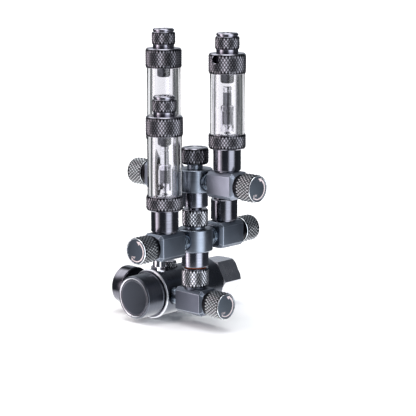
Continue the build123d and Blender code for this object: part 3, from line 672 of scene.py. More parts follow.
def discard(thing: Thing) -> None:
    """Removes an object and its data."""
    data = thing.data
    bpy.data.objects.remove(thing)
    if isinstance(data, bpy.types.Mesh):
        bpy.data.meshes.remove(data)
    elif isinstance(data, bpy.types.Curve):
        bpy.data.curves.remove(data)


def combined(mesh: Mesh, others: Iterable[Mesh], operation: str) -> Mesh:
    """Cuts solids from a solid, or keeps what they share.

    Args:
        mesh: The solid.
        others: The other solids.
        operation: DIFFERENCE or INTERSECT.

    Returns:
        The result.
    """
    base = temporary(mesh, "base")
    cutters = [temporary(other, "cutter") for other in others]
    for cutter in cutters:
        cut = base.modifiers.new("cut", "BOOLEAN")
        cut.operation, cut.solver, cut.object = operation, "EXACT", cutter
    result = evaluated(base)
    for cutter in cutters:
        discard(cutter)
    return result


def moved(mesh: Mesh, source: Place, target: Place) -> Mesh:
    """Takes a mesh from one frame's millimetres to another's."""
    mesh.transform(target.matrix().inverted() @ source.matrix())
    return mesh


# Geometry Nodes

def mesh_tree(name: str, numbers: str, counts: str) -> tuple[Tree, dict[str, Socket]]:
    """Starts a tree that makes a mesh of one material.

    Args:
        name: The tree's name.
        numbers: The names of its number inputs, with spaces between.
        counts: The names of its whole-number inputs.

    Returns:
        The tree, and its inputs by name.
    """
    tree = bpy.data.node_groups.new(name, "GeometryNodeTree")
    kinds = {"NodeSocketFloat": numbers, "NodeSocketInt": counts, "NodeSocketMaterial": "Material"}
    for kind, names in kinds.items():
        for each in names.split():
            tree.interface.new_socket(each, in_out="INPUT", socket_type=kind)
    tree.interface.new_socket("Geometry", in_out="OUTPUT", socket_type="NodeSocketGeometry")
    outputs = add_node(tree, "NodeGroupInput").outputs
    return tree, {item.name: item for item in outputs if item.name}


def close_tree(tree: Tree, mesh: Socket, material: Socket) -> None:
    """Makes the tree's instances real, gives them the material and sends them out."""
    real = add_node(tree, "GeometryNodeRealizeInstances", {"Geometry": mesh}).outputs[0]
    done = add_node(tree, "GeometryNodeSetMaterial", {"Geometry": real, "Material": material}).outputs[0]
    add_node(tree, "NodeGroupOutput", {"Geometry": done})


def knurl_tree() -> Tree:
    """The tree that rolls a diamond knurl round the local z axis.

    Returns:
        A tree with inputs for the radius, depth, height, counts and material.
    """
    tree, given = mesh_tree("diamond_knurl", "Radius Depth Bottom Top", "Around Rows")
    maths = partial(result_of, tree)
    columns = maths("MULTIPLY", given["Around"], 2.0)
    steps = maths("MULTIPLY", given["Rows"], 2.0)
    grid = add_node(tree, "GeometryNodeMeshGrid", {
        "Size X": 1.0, "Size Y": 1.0,
        "Vertices X": maths("ADD", columns, 1.0), "Vertices Y": maths("ADD", steps, 1.0),
    })
    spot = add_node(tree, "ShaderNodeSeparateXYZ", {
        0: add_node(tree, "GeometryNodeInputPosition").outputs[0],
    }).outputs
    column = maths("ROUND", maths("MULTIPLY", maths("ADD", spot[0], 0.5), columns))
    row = maths("ROUND", maths("MULTIPLY", maths("ADD", spot[1], 0.5), steps))
    odd = maths("FLOORED_MODULO", maths("ADD", column, row), 2.0)
    inside = maths("GREATER_THAN", maths("MULTIPLY", row, maths("SUBTRACT", steps, row)), 0.5)
    peak = maths("MULTIPLY", odd, inside)
    angle = maths("DIVIDE", maths("MULTIPLY", column, math.tau), columns)
    groove = maths("SUBTRACT", given["Radius"], given["Depth"])
    radius = maths("ADD", groove, maths("MULTIPLY", given["Depth"], peak))
    span = maths("SUBTRACT", given["Top"], given["Bottom"])
    height = maths("ADD", given["Bottom"], maths("DIVIDE", maths("MULTIPLY", span, row), steps))
    place = add_node(tree, "ShaderNodeCombineXYZ", {
        0: maths("MULTIPLY", radius, maths("COSINE", angle)),
        1: maths("MULTIPLY", radius, maths("SINE", angle)), 2: height,
    })
    named = add_node(tree, "GeometryNodeStoreNamedAttribute", {
        "Geometry": grid.outputs[0], "Name": "peak", "Value": peak,
    }, data_type="FLOAT", domain="POINT")
    rolled = add_node(tree, "GeometryNodeSetPosition", {
        "Geometry": named.outputs[0], "Position": place.outputs[0],
    })
    joined = add_node(tree, "GeometryNodeMergeByDistance", {
        "Geometry": rolled.outputs[0], "Distance": KNURL_WELD,
    })
    split = add_node(tree, "GeometryNodeTriangulate", {"Mesh": joined.outputs[0]})
    close_tree(tree, split.outputs[0], given["Material"])
    return tree


def tick_tree(short_length: float = 0.55, short_width: float = 0.6) -> Tree:
    """The tree that sets a dial's graduation lines round the local z axis.

    Args:
        short_length: A short line's length as a share of a long one's.
        short_width: A short line's width as a share of a long one's.

    Returns:
        A tree with inputs for the count, every which line is long, the sizes and the material.
    """
    tree, given = mesh_tree("dial_ticks", "Radius Length Width Thickness Start Sweep", "Count Major")
    maths = partial(result_of, tree)
    index = add_node(tree, "GeometryNodeInputIndex").outputs[0]
    last = maths("SUBTRACT", given["Count"], 1.0)
    angle = maths("SUBTRACT", given["Start"], maths("DIVIDE", maths("MULTIPLY", given["Sweep"], index), last))
    major = maths("LESS_THAN", maths("FLOORED_MODULO", index, given["Major"]), 0.5)
    long = maths("ADD", short_length, maths("MULTIPLY", major, 1 - short_length))
    wide = maths("ADD", short_width, maths("MULTIPLY", major, 1 - short_width))
    out = maths("SUBTRACT", given["Radius"], maths("MULTIPLY", maths("MULTIPLY", given["Length"], long), 0.5))
    spot = add_node(tree, "ShaderNodeCombineXYZ", {
        0: maths("MULTIPLY", out, maths("COSINE", angle)), 1: maths("MULTIPLY", out, maths("SINE", angle)),
    })
    points = add_node(tree, "GeometryNodePoints", {"Count": given["Count"], "Position": spot.outputs[0]})
    size = add_node(tree, "ShaderNodeCombineXYZ", {
        0: given["Length"], 1: given["Width"], 2: given["Thickness"],
    })
    line = add_node(tree, "GeometryNodeMeshCube", {"Size": size.outputs[0]})
    turn = add_node(tree, "ShaderNodeCombineXYZ", {2: angle})
    scale = add_node(tree, "ShaderNodeCombineXYZ", {0: long, 1: wide, 2: 1.0})
    lines = add_node(tree, "GeometryNodeInstanceOnPoints", {
        "Points": points.outputs[0], "Instance": line.outputs[0], "Rotation": turn.outputs[0],
        "Scale": scale.outputs[0],
    })
    close_tree(tree, lines.outputs[0], given["Material"])
    return tree


TREES = {"knurl": knurl_tree(), "ticks": tick_tree()}


def grown(tree: str, values: dict[str, Any]) -> Mesh:
    """Runs a Geometry Nodes tree and gives its plain mesh.

    Args:
        tree: Its key in TREES.
        values: Input name to value.

    Returns:
        The mesh.
    """
    thing = temporary(bmesh.new(), tree)
    nodes = thing.modifiers.new(tree, "NODES")
    nodes.node_group = TREES[tree]
    for item in TREES[tree].interface.items_tree:
        if item.in_out == "INPUT":
            nodes[item.identifier] = values[item.name]
    return evaluated(thing)


@dataclass(frozen=True)
class Knurl:
    """A rolled diamond band on a turned piece, between two heights.

    A diamond is slimness times as high as it is wide.
    """

    radius: float
    bottom: float
    top: float
    pitch: float = 2.1
    depth: float = 0.45
    slimness: float = 1.35

    def around(self) -> int:
        """How many diamonds go round."""
        return round(2 * math.pi * self.radius / self.pitch)

    def groove(self) -> float:
        """The radius at the bottom of the grooves."""
        return self.radius - self.depth

    def skin(self, finish: Finish) -> Mesh:
        """The band's faces, made by the knurl tree."""
        rows = max(2, round((self.top - self.bottom) / (self.slimness * self.pitch)))
        return grown("knurl", {
            "Radius": self.radius, "Depth": self.depth, "Bottom": self.bottom, "Top": self.top,
            "Around": self.around(), "Rows": rows, "Material": material_of(finish),
        })


def knurled(outline: Outline, knurl: Knurl, finish: Finish, soften: float = 0.12) -> Mesh:
    """A turned piece whose outer band is knurled.

    Args:
        outline: From the band's top, round the rest of the piece, to the band's bottom.
        knurl: The band.
        finish: The band's finish, which gets face index 1.
        soften: How far the corners' rounding reaches.

    Returns:
        The closed mesh.
    """
    whole = [(knurl.groove(), knurl.top), *outline, (knurl.groove(), knurl.bottom)]
    body = turned(whole, 2 * knurl.around(), soften, closed=False)
    for face in body.faces:
        face.material_index = 0
    skin = knurl.skin(finish)
    for face in skin.faces:
        face.material_index = 1
    pour(skin, body, Matrix())
    bmesh.ops.remove_doubles(body, verts=body.verts, dist=SKIN_WELD)
    bmesh.ops.recalc_face_normals(body, faces=body.faces)
    return body


class Piece:
    """One object in the making: solids put in their places, with the finishes they use."""

    def __init__(self, name: str, *finishes: Finish) -> None:
        """Starts an empty piece."""
        self.name = name
        self.finishes = finishes
        self.mesh = blank_mesh()

    def add(self, part: Mesh, place: Place, first: int = 0) -> "Piece":
        """Puts a solid in its place.

        Args:
            part: The solid in the place's millimetres. It is used up.
            place: Where it goes.
            first: Added to its faces' finish numbers.

        Returns:
            The piece.
        """
        for face in part.faces:
            face.material_index += first
        pour(part, self.mesh, place.matrix())
        return self

    def finish(self, body: str, slot: str, *nodes: str) -> Thing:
        """Makes the object, puts it on its body and hides the CAD nodes that it stands for.

        Args:
            body: The body that it rides on.
            slot: A material slot's name. It is not used.
            nodes: The CAD nodes that it stands for.

        Returns:
            The object.
        """
        data = bpy.data.meshes.new(self.name)
        self.mesh.to_mesh(data)
        self.mesh.free()
        for finish in self.finishes:
            data.materials.append(material_of(finish))
        for face in data.polygons:
            face.use_smooth = True
        data.set_sharp_from_angle(angle=SMOOTH_ANGLE)
        thing = linked(self.name, data)
        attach(thing, body)
        if nodes:
            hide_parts(*nodes)
        log.info("%s: %d faces on %s", self.name, len(data.polygons), body)
        return thing


def lettering(text: str, size: float, thickness: float) -> Mesh:
    """Flat letters centred on the origin.

    Args:
        text: What they say.
        size: Their size in mm.
        thickness: How far they stand up.

    Returns:
        The letters as closed solids.
    """
    curve = bpy.data.curves.new("letters", "FONT")
    curve.body, curve.size, curve.extrude = text, size, thickness / 2
    curve.align_x, curve.align_y = "CENTER", "CENTER"
    curve.resolution_u = 4
    mesh = evaluated(linked("letters", curve))
    bmesh.ops.remove_doubles(mesh, verts=mesh.verts, dist=WELD)
    return mesh


# Sub-assemblies

@dataclass
class Regulator:
    """The barrel with its bonnet, round cover, relief valve and port plug."""

    radius: float = 16.1
    behind: float = 48.1
    ahead: float = 6.3
    flange_radius: float = 16.95
    flange_width: float = 3.0
    bonnet_radius: float = 14.7
    bonnet_length: float = 15.7
    cover_radius: float = 12.6
    cover_recess: float = 1.2
    chamfer: float = 0.8
    spot: float = 6.6
    plug_spot: float = 4.6
    plug_depth: float = 4.0

    def barrel(self) -> None:
        """The barrel, with flats where the side fittings seat."""
        clamp, chamber, seat, passage, inlet = 13.55, 10.5, 4.55, 5.0, 6.55
        ledge, floor, seat_end, inlet_end = 4.1, -3.9, -8.9, -36.1
        shell = turned([
            (inlet, -self.behind), (self.radius - self.chamfer, -self.behind),
            (self.radius, -self.behind + self.chamfer), (self.radius, self.ahead), (clamp, self.ahead),
            (clamp, ledge), (chamber, ledge), (chamber, floor), (seat, floor), (seat, seat_end),
            (passage, seat_end), (passage, inlet_end), (inlet, inlet_end),
        ], 160)
        wide, narrow, deep, clear = 3.65, 3.05, 9.5, 30
        cutters = []
        for place, spot, port, depth in (
            (OUTLET_PORT, self.spot, wide, deep), (GAUGE_PORT, self.spot, wide, deep),
            (RELIEF_PORT, self.spot, narrow, deep), (PLUG_PORT, self.plug_spot, narrow, self.plug_depth),
        ):
            cutters.append(moved(turned(bar(spot, FITTING_SEAT, clear), 64, 0), place, BARREL))
            cutters.append(moved(turned(bar(port, depth, clear), 48, 0), place, BARREL))
        Piece("barrel_shell", BODY).add(combined(shell, cutters, "DIFFERENCE"), BARREL).finish(
            "regulator", "body_anodised", "regulator_body")

    def bonnet(self) -> None:
        """The bonnet with its clamping flange, and polished rims at both."""
        front = self.ahead + self.flange_width + self.bonnet_length
        flange = self.ahead + self.flange_width
        seat = front - self.cover_recess
        inner = self.bonnet_radius - 3.2
        spigot, foot, screw, lip = 13.5, 4.7, 4.05, 13.4
        roof, step = seat - 5.8, front - 0.35
        shell = turned([
            (inner, foot), (spigot, foot), (spigot, self.ahead),
            (self.flange_radius - self.chamfer, self.ahead),
            (self.flange_radius, self.ahead + self.chamfer), (self.flange_radius, flange - self.chamfer),
            (self.flange_radius - self.chamfer, flange), (self.bonnet_radius - 0.5, flange),
            (self.bonnet_radius - 0.5, flange + 0.5), (self.bonnet_radius + 0.3, flange + 0.8),
            (self.bonnet_radius + 0.3, flange + 1.3), (self.bonnet_radius, flange + 1.5),
            (self.bonnet_radius, front - self.chamfer), (self.bonnet_radius - self.chamfer, front),
            (lip, front), (lip - 0.3, step), (self.cover_radius, step), (self.cover_radius, seat),
            (screw, seat), (screw, roof), (inner, roof),
        ], 160)
        for face in shell.faces:
            height, reach = face.calc_center_median().z, reach_of(face)
            on_lip = height > step - 0.05 and self.cover_radius < reach < lip + 0.05
            on_flange = reach > self.flange_radius - self.chamfer - 0.05
            at_front = flange - self.chamfer - 0.1 < height < flange + 0.1
            face.material_index = int(on_lip or on_flange and at_front)
        Piece("bonnet_shell", BODY, FLANGE).add(shell, BARREL).finish("regulator", "body_anodised", "bonnet")
        edge = self.cover_radius - 0.05
        disc = turned([
            (0, seat), (edge, seat), (edge, seat + 0.5), (edge - 0.35, seat + 0.85),
            (edge - 0.9, seat + 0.85), (edge - 1.1, seat + 0.7), (0, seat + 0.7),
        ], 128, 0.1)
        for face in disc.faces:
            face.material_index = int(reach_of(face) > edge - 1.2)
        Piece("bonnet_disc", COVER, BODY).add(disc, BARREL).finish(
            "regulator", "cover_anodised", "bonnet_cover")

    def fittings(self) -> None:
        """The relief valve and the knurled plug on top of the barrel."""
        wrench = FITTING_SEAT + 3.4
        top = wrench + 6.8
        bore, shank, head, mouth = 1.0, 3.0, 4.3, 2.2
        stem = turned([
            (bore, PORT_FOOT), (shank, PORT_FOOT), (shank, FITTING_SEAT + 1), (head, FITTING_SEAT + 1),
            (head, top - 0.5), (head - 0.5, top), (mouth, top), (mouth, top - 1.0), (bore, top - 1.0),
        ], 96)
        piece = Piece("relief_fitting", NICKEL).add(stem, RELIEF_PORT)
        piece.add(hexagon(10.0, FITTING_SEAT, wrench, 0.35), RELIEF_PORT)
        piece.finish("regulator", "nickel", "relief_valve")
        crown, tip = FITTING_SEAT + 5.2, 6.5
        band = Knurl(4.0, FITTING_SEAT + 0.5, crown - 0.45, pitch=1.4, depth=0.3)
        plug = knurled([
            (3.3, crown), (0, crown), (0, tip), (shank, tip), (shank, FITTING_SEAT), (3.6, FITTING_SEAT),
        ], band, KNURL)
        Piece("plug_fitting", RIM, RING_KNURL).add(plug, PLUG_PORT).finish(
            "regulator", "knurled_anodised", "port_plug")

    def build(self) -> None:
        """Builds every piece."""
        self.barrel()
        self.bonnet()
        self.fittings()


@dataclass
class Inlet:
    """The nipple and the hexagon nut that draws it on to a cylinder valve."""

    across: float = 27.0
    length: float = 18.0
    thread: float = 10.4
    thread_length: float = 8.0
    turn_step: float = 0.9
    turn_depth: float = 0.35
    turn_count: int = 8

    def build(self) -> None:
        """Builds the nipple and the nut, with the nut's thread cut as grooves."""
        mouth = CROSS_X
        end = mouth + self.length
        gas, head, neck, shoulder, screw = 2.5, 9.6, 6.0, 8.0, 6.5
        head_low, head_high = mouth + 10.3, mouth + 12.8
        shoulder_low, seat, tip = -49.6, -48.1, -36.15
        nipple = turned([
            (gas, head_low), (head, head_low), (head, head_high), (neck, head_high), (neck, shoulder_low),
            (shoulder, shoulder_low), (shoulder, seat), (screw, seat), (screw, tip), (gas, tip),
        ], 96)
        Piece("nipple_fitting", NICKEL_X).add(nipple, BARREL).finish("regulator", "nickel", "inlet_nipple")
        outer = hexagon(self.across, mouth, end, 1.2)
        turns = [(self.thread + self.turn_depth * (k % 2), mouth + self.turn_step * k + 0.6)
                 for k in range(self.turn_count)]
        thread_end = mouth + self.thread_length
        lead, room, room_end, hole = self.thread + 0.9, head + 0.3, head_high + 0.3, neck + 0.1
        bore = turned([
            (0, mouth - 1), (lead, mouth - 1), (lead, mouth), *turns, (self.thread, thread_end),
            (room, thread_end), (room, room_end), (hole, room_end), (hole, end + 1), (0, end + 1),
        ], 96, 0.05)
        nut = combined(outer, [bore], "DIFFERENCE")
        Piece("inlet_hexagon", NICKEL_X).add(nut, BARREL).finish("inlet_nut", "nickel", "inlet_nut")


@dataclass
class Gauge:
    """The pressure gauge: turned case, printed dial, pointer and lens."""

    radius: float = 13.5
    near: float = 23.2
    depth: float = 10.6
    dial_radius: float = 12.3
    bore: float = 12.4
    start: float = math.radians(225)
    sweep: float = math.radians(270)
    tick_count: int = 41
    numerals: int = 5
    print_thickness: float = 0.04

    def build(self) -> None:
        """Builds the case, the dial with its print, the pointer and the lens."""
        front = self.near + self.depth
        dial = front - 3.6
        under = dial - 0.6
        shank, neck, shoulder, mouth = 3.6, 5.4, 7.6, 11.9
        step, rounding = self.near - 2.2, 0.8
        case = turned([
            (0, PORT_FOOT), (shank, PORT_FOOT), (shank, FITTING_SEAT), (neck, FITTING_SEAT), (neck, step),
            (shoulder, step), (shoulder, self.near), (self.radius - rounding, self.near),
            (self.radius, self.near + rounding), (self.radius, front - rounding),
            (self.radius - rounding, front), (mouth, front), (self.bore, front - 1.7), (self.bore, under),
            (0, under),
        ], 160)
        for face in case.faces:
            face.material_index = int(reach_of(face) > self.radius - 0.2)
        Piece("gauge_shell", GAUGE, GAUGE_SIDE).add(case, GAUGE_PORT).finish(
            "regulator", "black_fitting", "gauge_case")
        hole = 0.65
        plate = turned([
            (hole, under), (self.dial_radius, under), (self.dial_radius, dial), (hole, dial),
        ], 128, 0.05)
        piece = Piece("gauge_face", DIAL, BLACK_INK).add(plate, GAUGE_PORT)
        ticks = grown("ticks", {
            "Count": self.tick_count, "Major": 10, "Radius": 10.9, "Length": 2.2, "Width": 0.22,
            "Thickness": self.print_thickness, "Start": self.start, "Sweep": self.sweep,
            "Material": material_of(BLACK_INK),
        })
        printed = dial + self.print_thickness / 2
        ticks.transform(Matrix.Translation((0, 0, printed)))
        for face in ticks.faces:
            face.material_index = 0
        piece.add(ticks, GAUGE_PORT, 1)
        for k in range(self.numerals):
            angle = self.start - self.sweep * k / (self.numerals - 1)
            letters = lettering(str(k * 10), 2.4, self.print_thickness)
            letters.transform(Matrix.Translation((*polar(7.0, angle), printed)))
            piece.add(letters, GAUGE_PORT, 1)
        piece.finish("regulator", "dial_paint", "gauge_dial")
        lens = turned(bar(11.85, front - 1.7, front - 0.5), 128, 0.2)
        Piece("gauge_window", LENS).add(lens, GAUGE_PORT).finish("regulator", "lens", "gauge_lens")
        low = dial + 0.3
        hand = prism([(-3.2, -0.9), (8.6, -0.22), (8.6, 0.22), (-3.2, 0.9)], low, low + 0.4)
        hand.transform(Matrix.Rotation(self.start, 4, "Z"))
        hub = turned([
            (0, low - 0.8), (0.6, low - 0.8), (0.6, low), (1.5, low), (1.5, low + 0.45), (0, low + 0.45),
        ], 48, 0.1)
        pointer = Piece("gauge_hand", BLACK_INK).add(hand, GAUGE_PORT).add(hub, GAUGE_PORT)
        pointer.finish("gauge_pointer", "pointer_paint", "gauge_pointer")


@dataclass
class Knob:
    """A knurled knob with a recessed slate face, a curved arrow and the word OFF."""

    radius: float = 9.2
    length: float = 12.5
    face: float = 8.1
    recess: float = 0.4
    gland_bore: float = 4.7
    stem_bore: float = 2.05
    disc_thickness: float = 0.05
    arrow_span: Span = (math.radians(60), math.radians(-128))
    arrow_steps: int = 40
    arrow_outer: float = 7.1
    arrow_inner: Span = (5.9, 6.5)
    arrow_tip: float = math.radians(86)

    def body(self, back: float, finish: Finish) -> Mesh:
        """The knurled shell, from its back at that height."""
        front = back + self.length
        pocket = back + 6.8
        band = Knurl(self.radius, back + 0.35, front - 0.45, pitch=2.2, depth=0.5)
        return knurled([
            (self.radius - 0.7, front), (self.face, front), (self.face, front - self.recess),
            (0, front - self.recess), (0, front - 1.5), (self.stem_bore, front - 1.5),
            (self.stem_bore, pocket), (self.gland_bore, pocket), (self.gland_bore, back),
            (self.radius - 0.7, back),
        ], band, finish)

    def print(self, piece: Piece, place: Place, back: float) -> None:
        """Sets the slate disc and its print on the face."""
        floor = back + self.length - self.recess
        low, high = floor + self.disc_thickness, floor + 2 * self.disc_thickness
        disc = turned(bar(self.face - 0.1, floor, low), 96, 0.02)
        piece.add(disc, place, 2)
        start, end = self.arrow_span
        thin, thick = self.arrow_inner
        ways = [(k / self.arrow_steps, start + (end - start) * k / self.arrow_steps)
                for k in range(self.arrow_steps + 1)]
        arc = [polar(self.arrow_outer, angle) for share, angle in ways]
        arc += [polar(thin + (thick - thin) * share, angle) for share, angle in reversed(ways)]
        piece.add(prism(arc, low, high), place, 3)
        foot = start - 0.02
        head = [polar(7.7, foot), polar(6.6, self.arrow_tip), polar(5.0, foot)]
        piece.add(prism(head, low, high), place, 3)
        letters = lettering("OFF", 2.1, self.disc_thickness)
        letters.transform(Matrix.Translation((-2.5, -4.4, (low + high) / 2)))
        piece.add(letters, place, 3)

    def build(self, name: str, place: Place, back: float, node: str, body: str) -> None:
        """Builds one knob.

        Args:
            name: The piece's name.
            place: The arm's frame.
            back: The knob's back, along the arm.
            node: The CAD node it stands for.
            body: The body it rides on.
        """
        along_y = abs(place.z_dir[1]) > 0.5
        # Knobs along y get the lighter painted face and darker painted knurl tips; knobs along x get the
        # other copies, as light and shade
        knurl, slate = (KNOB_KNURL_Y_PAINTED_SHADE, KNOB_FACE_Y_PAINTED_LIGHT) if along_y else (KNOB_KNURL_X_PAINTED_LIGHT, KNOB_FACE_X_PAINTED_SHADE)
        piece = Piece(name, KNOB_RIM, knurl, slate, INK)
        piece.add(self.body(back, knurl), place)
        self.print(piece, place, back)
        piece.finish(body, "knob_anodised", node)


@dataclass
class NeedleValves:
    """The square blocks of the arms, with their stems, glands and knobs."""

    half: float = 8.8
    edge: float = 2.4
    inner: float = 12.0
    outer: float = 12.0
    end: float = 2.0
    outlet_extra: float = 1.6
    gland_width: float = 2.2
    knob_gap: float = 0.2
    flat: float = 10.2
    stem_radius: float = 6.0
    needle_bore: float = 2.05

    def gland(self, outer: float) -> Mesh:
        """The gland nut and its boss."""
        shank, nut, boss = 5.0, 8.0, 4.4
        face = outer + self.gland_width
        foot, end = outer - 4.4, face + 6.5
        return turned([
            (self.needle_bore, foot), (shank, foot), (shank, outer), (nut, outer), (nut, face), (boss, face),
            (boss, end), (self.needle_bore, end),
        ], 96)

    def stem(self, flat: float) -> Mesh:
        """An arm's round stem with its O ring groove, from its seat to the block."""
        foot, groove, end = flat - 5.0, flat + 3.2, -self.inner + 0.4
        full, sunk, shank = self.stem_radius, self.stem_radius - 0.8, 3.4
        return turned([
            (0, foot), (shank, foot), (shank, flat), (full - 0.3, flat), (full, flat + 0.3),
            (full, groove), (sunk, groove + 0.3), (sunk, groove + 1.1), (full, groove + 1.4),
            (full, end), (0, end),
        ], 96)

    def outlet(self) -> None:
        """The outlet block with its stem and boss, its gland and its knob."""
        outer = self.outer + self.outlet_extra
        # The outlet block gets the darkest copy of the block colour: painted shade
        piece = Piece("outlet_body", BLOCK_OUTLET_PAINTED_SHADE, STEM_Y, ARRIS_WEAR_AND_HIGHLIGHT)
        piece.add(needle_bar(self.half, self.edge, -self.inner, outer, self.end), OUTLET_ARM)
        wall, well, root, floor, rim = 7.4, 4.6, 4, 9, 17.0
        boss = turned([(0, root), (wall, root), (wall, rim), (well, rim), (well, floor), (0, floor)], 96)
        piece.add(boss, COLUMN)
        drilling, shank, end = 1.6, 3.6, 22.4
        stem = turned([
            (drilling, PORT_FOOT), (shank, PORT_FOOT), (shank, FITTING_SEAT),
            (self.stem_radius - 0.3, FITTING_SEAT), (self.stem_radius, FITTING_SEAT + 0.3),
            (self.stem_radius, end), (drilling, end),
        ], 96)
        piece.add(stem, OUTLET_PORT, 1)
        piece.finish("regulator", "block_anodised", "outlet_block")
        Piece("outlet_gland", GLAND).add(self.gland(outer), OUTLET_ARM).finish(
            "regulator", "black_anodised", "outlet_gland_nut")
        back = outer + self.gland_width + self.knob_gap
        Knob().build("outlet_handle", OUTLET_ARM, back, "outlet_knob", "outlet_knob")

    def arms(self) -> None:
        """The blocks and glands of each module, and a knob on each arm.

        Behind a clear wall the photograph shows nothing of arm a, so light through the walls passes it by.
        """
        for level, letters in LEVELS.items():
            # Upper blocks get the lighter copy of the block colour and lower blocks the darker one: painted
            # light and shade
            block, stem = (BLOCK_UPPER_PAINTED_LIGHT, STEM_Y) if level == "upper" else (BLOCK_LOWER_PAINTED_SHADE, STEM_X)
            for letter in letters:
                place = ARMS[letter].place()
                body = Piece(f"valve_body_{letter}", block, stem, ARRIS_WEAR_AND_HIGHLIGHT)
                body.add(needle_bar(self.half, self.edge, -self.inner, self.outer, self.end), place)
                body.add(self.stem(self.flat - ARM_REACH), place, 1)
                shown = body.finish(f"{level}_module", "block_anodised", f"{level}_needle_blocks")
                shown.visible_transmission = letter != "a"
                gland = Piece(f"gland_{letter}", GLAND).add(self.gland(self.outer), place).finish(
                    f"{level}_module", "black_anodised", f"{level}_gland_nuts")
                gland.visible_transmission = letter != "a"
                back = self.outer + self.gland_width + self.knob_gap
                Knob().build(f"handle_{letter}", place, back, f"knob_{letter}", f"knob_{letter}")

    def build(self) -> None:
        """Builds every piece."""
        self.outlet()
        self.arms()


@dataclass
class Manifolds:
    """The column above the outlet block: swivel nuts, manifolds and cap."""

    radius: float = 11.87
    height: float = 15.0
    chamfer: float = 0.5
    collar: float = 6.2
    collar_width: float = 1.6
    stem: float = 4.5
    drilling: float = 1.6
    wall: float = 1.2
    socket: float = 6.3

    def manifold(
        self, level: str, bottom: float, neck: float, drop: float, boss: float, boss_top: float, foot: float,
        collar_z: float,
    ) -> None:
        """One manifold, with its polished neck below and its boss above.

        Args:
            level: upper or lower.
            bottom: The round body's lower face.
            neck: The neck's radius.
            drop: The neck's height.
            boss: The boss's radius.
            boss_top: The boss's top.
            foot: The spigot's lower end.
            collar_z: The spigot's collar.
        """
        top = bottom + self.height
        base = bottom - drop
        body = turned([
            (0, bottom), (self.radius - self.chamfer, bottom), (self.radius, bottom + self.chamfer),
            (self.radius, top - self.chamfer), (self.radius - self.chamfer, top), (boss, top),
            (boss, boss_top), (boss - self.wall, boss_top), (boss - self.wall, top - 1.5), (0, top - 1.5),
        ], 160)
        socket = bar(self.socket, NeedleValves.flat - ARM_REACH, 2)
        cutters = [moved(turned(socket, 64, 0), ARMS[letter].place(), COLUMN) for letter in LEVELS[level]]
        piece = Piece(f"{level}_manifold_body", MANIFOLD, NECK)
        piece.add(combined(body, cutters, "DIFFERENCE"), COLUMN)
        piece.add(turned([
            (self.drilling, foot), (self.stem, foot), (self.stem, collar_z), (self.collar, collar_z),
            (self.collar, collar_z + self.collar_width), (self.stem, collar_z + self.collar_width),
            (self.stem, base), (neck - self.chamfer, base), (neck, base + self.chamfer),
            (neck, bottom + 0.2), (self.drilling, bottom + 0.2),
        ], 128), COLUMN, 1)
        piece.finish(f"{level}_module", "manifold_anodised", f"{level}_manifold")

    def swivel(self, level: str, bottom: float, height: float, radius: float, thread: float) -> None:
        """One knurled swivel nut.

        Args:
            level: upper or lower.
            bottom: Its lower face.
            height: Its height.
            radius: Its outer radius.
            thread: Its bore.
        """
        top, hole = bottom + height, 4.58
        roof = top - 2.2
        band = Knurl(radius, bottom + 0.35, top - 0.35)
        nut = knurled([
            (radius - 0.7, top), (hole, top), (hole, roof), (thread, roof), (thread, bottom),
            (radius - 0.7, bottom),
        ], band, RING_KNURL)
        Piece(f"{level}_ring", RIM, RING_KNURL).add(nut, COLUMN).finish(
            f"{level}_nut", "knurled_anodised", f"{level}_swivel_nut")

    def build(self) -> None:
        """Builds every piece of the column."""
        self.swivel("lower", bottom=9.8, height=12.6, radius=9.2, thread=7.48)
        self.manifold(
            "lower", bottom=34.3, neck=9.1, drop=10.8, boss=6.6, boss_top=58.1, foot=7.6, collar_z=18.5)
        self.swivel("upper", bottom=50.9, height=11.6, radius=8.8, thread=6.68)
        self.manifold(
            "upper", bottom=74.6, neck=8.7, drop=10.6, boss=5.2, boss_top=98.3, foot=48.1, collar_z=58.6)
        hole, rim, under, over = 4.6, 7.3, 22.7, 23.5
        washer = turned([(hole, under), (rim, under), (rim, over), (hole, over)], 96, 0.1)
        Piece("column_washer", FIBRE).add(washer, COLUMN).finish(
            "lower_module", "washer_copper", "swivel_washer")
        self.cap(low=92.8, high=103.8, radius=9.2, bore=5.28, bright=4.9)

    def cap(self, low: float, high: float, radius: float, bore: float, bright: float) -> None:
        """The knurled cap on the column.

        Args:
            low: Its lower face.
            high: Its upper face.
            radius: Its outer radius.
            bore: Its bore's radius.
            bright: The radius of the nickel disc in its crown, bright as a painted highlight.
        """
        band = Knurl(radius, low + 0.65, high - 0.65)
        crown, roof = high - 0.3, 98.6
        cap = knurled([
            (radius - 1.0, high), (bright + 0.3, high), (bright, crown), (0, crown), (0, roof), (bore, roof),
            (bore, low), (radius - 1.0, low),
        ], band, KNURL)
        # The crown's middle disc gets polished nickel: a painted highlight
        for face in cap.faces:
            if face.calc_center_median().z > crown - 0.01 and reach_of(face) < bright:
                face.material_index = 2
        Piece("column_crown", RIM, KNURL, NICKEL).add(cap, COLUMN).finish(
            "column_cap", "knurled_anodised", "column_cap")


@dataclass(frozen=True)
class Tower:
    """A bubble tower: where its skirt starts, how far its stem stands out, and if all of that is bright."""

    skirt_foot: float
    stem_height: float
    polished: bool = False


TOWERS = {"a": Tower(34.35, 0.5), "b": Tower(37.45, 11.8, polished=True), "c": Tower(35.55, 11.8)}


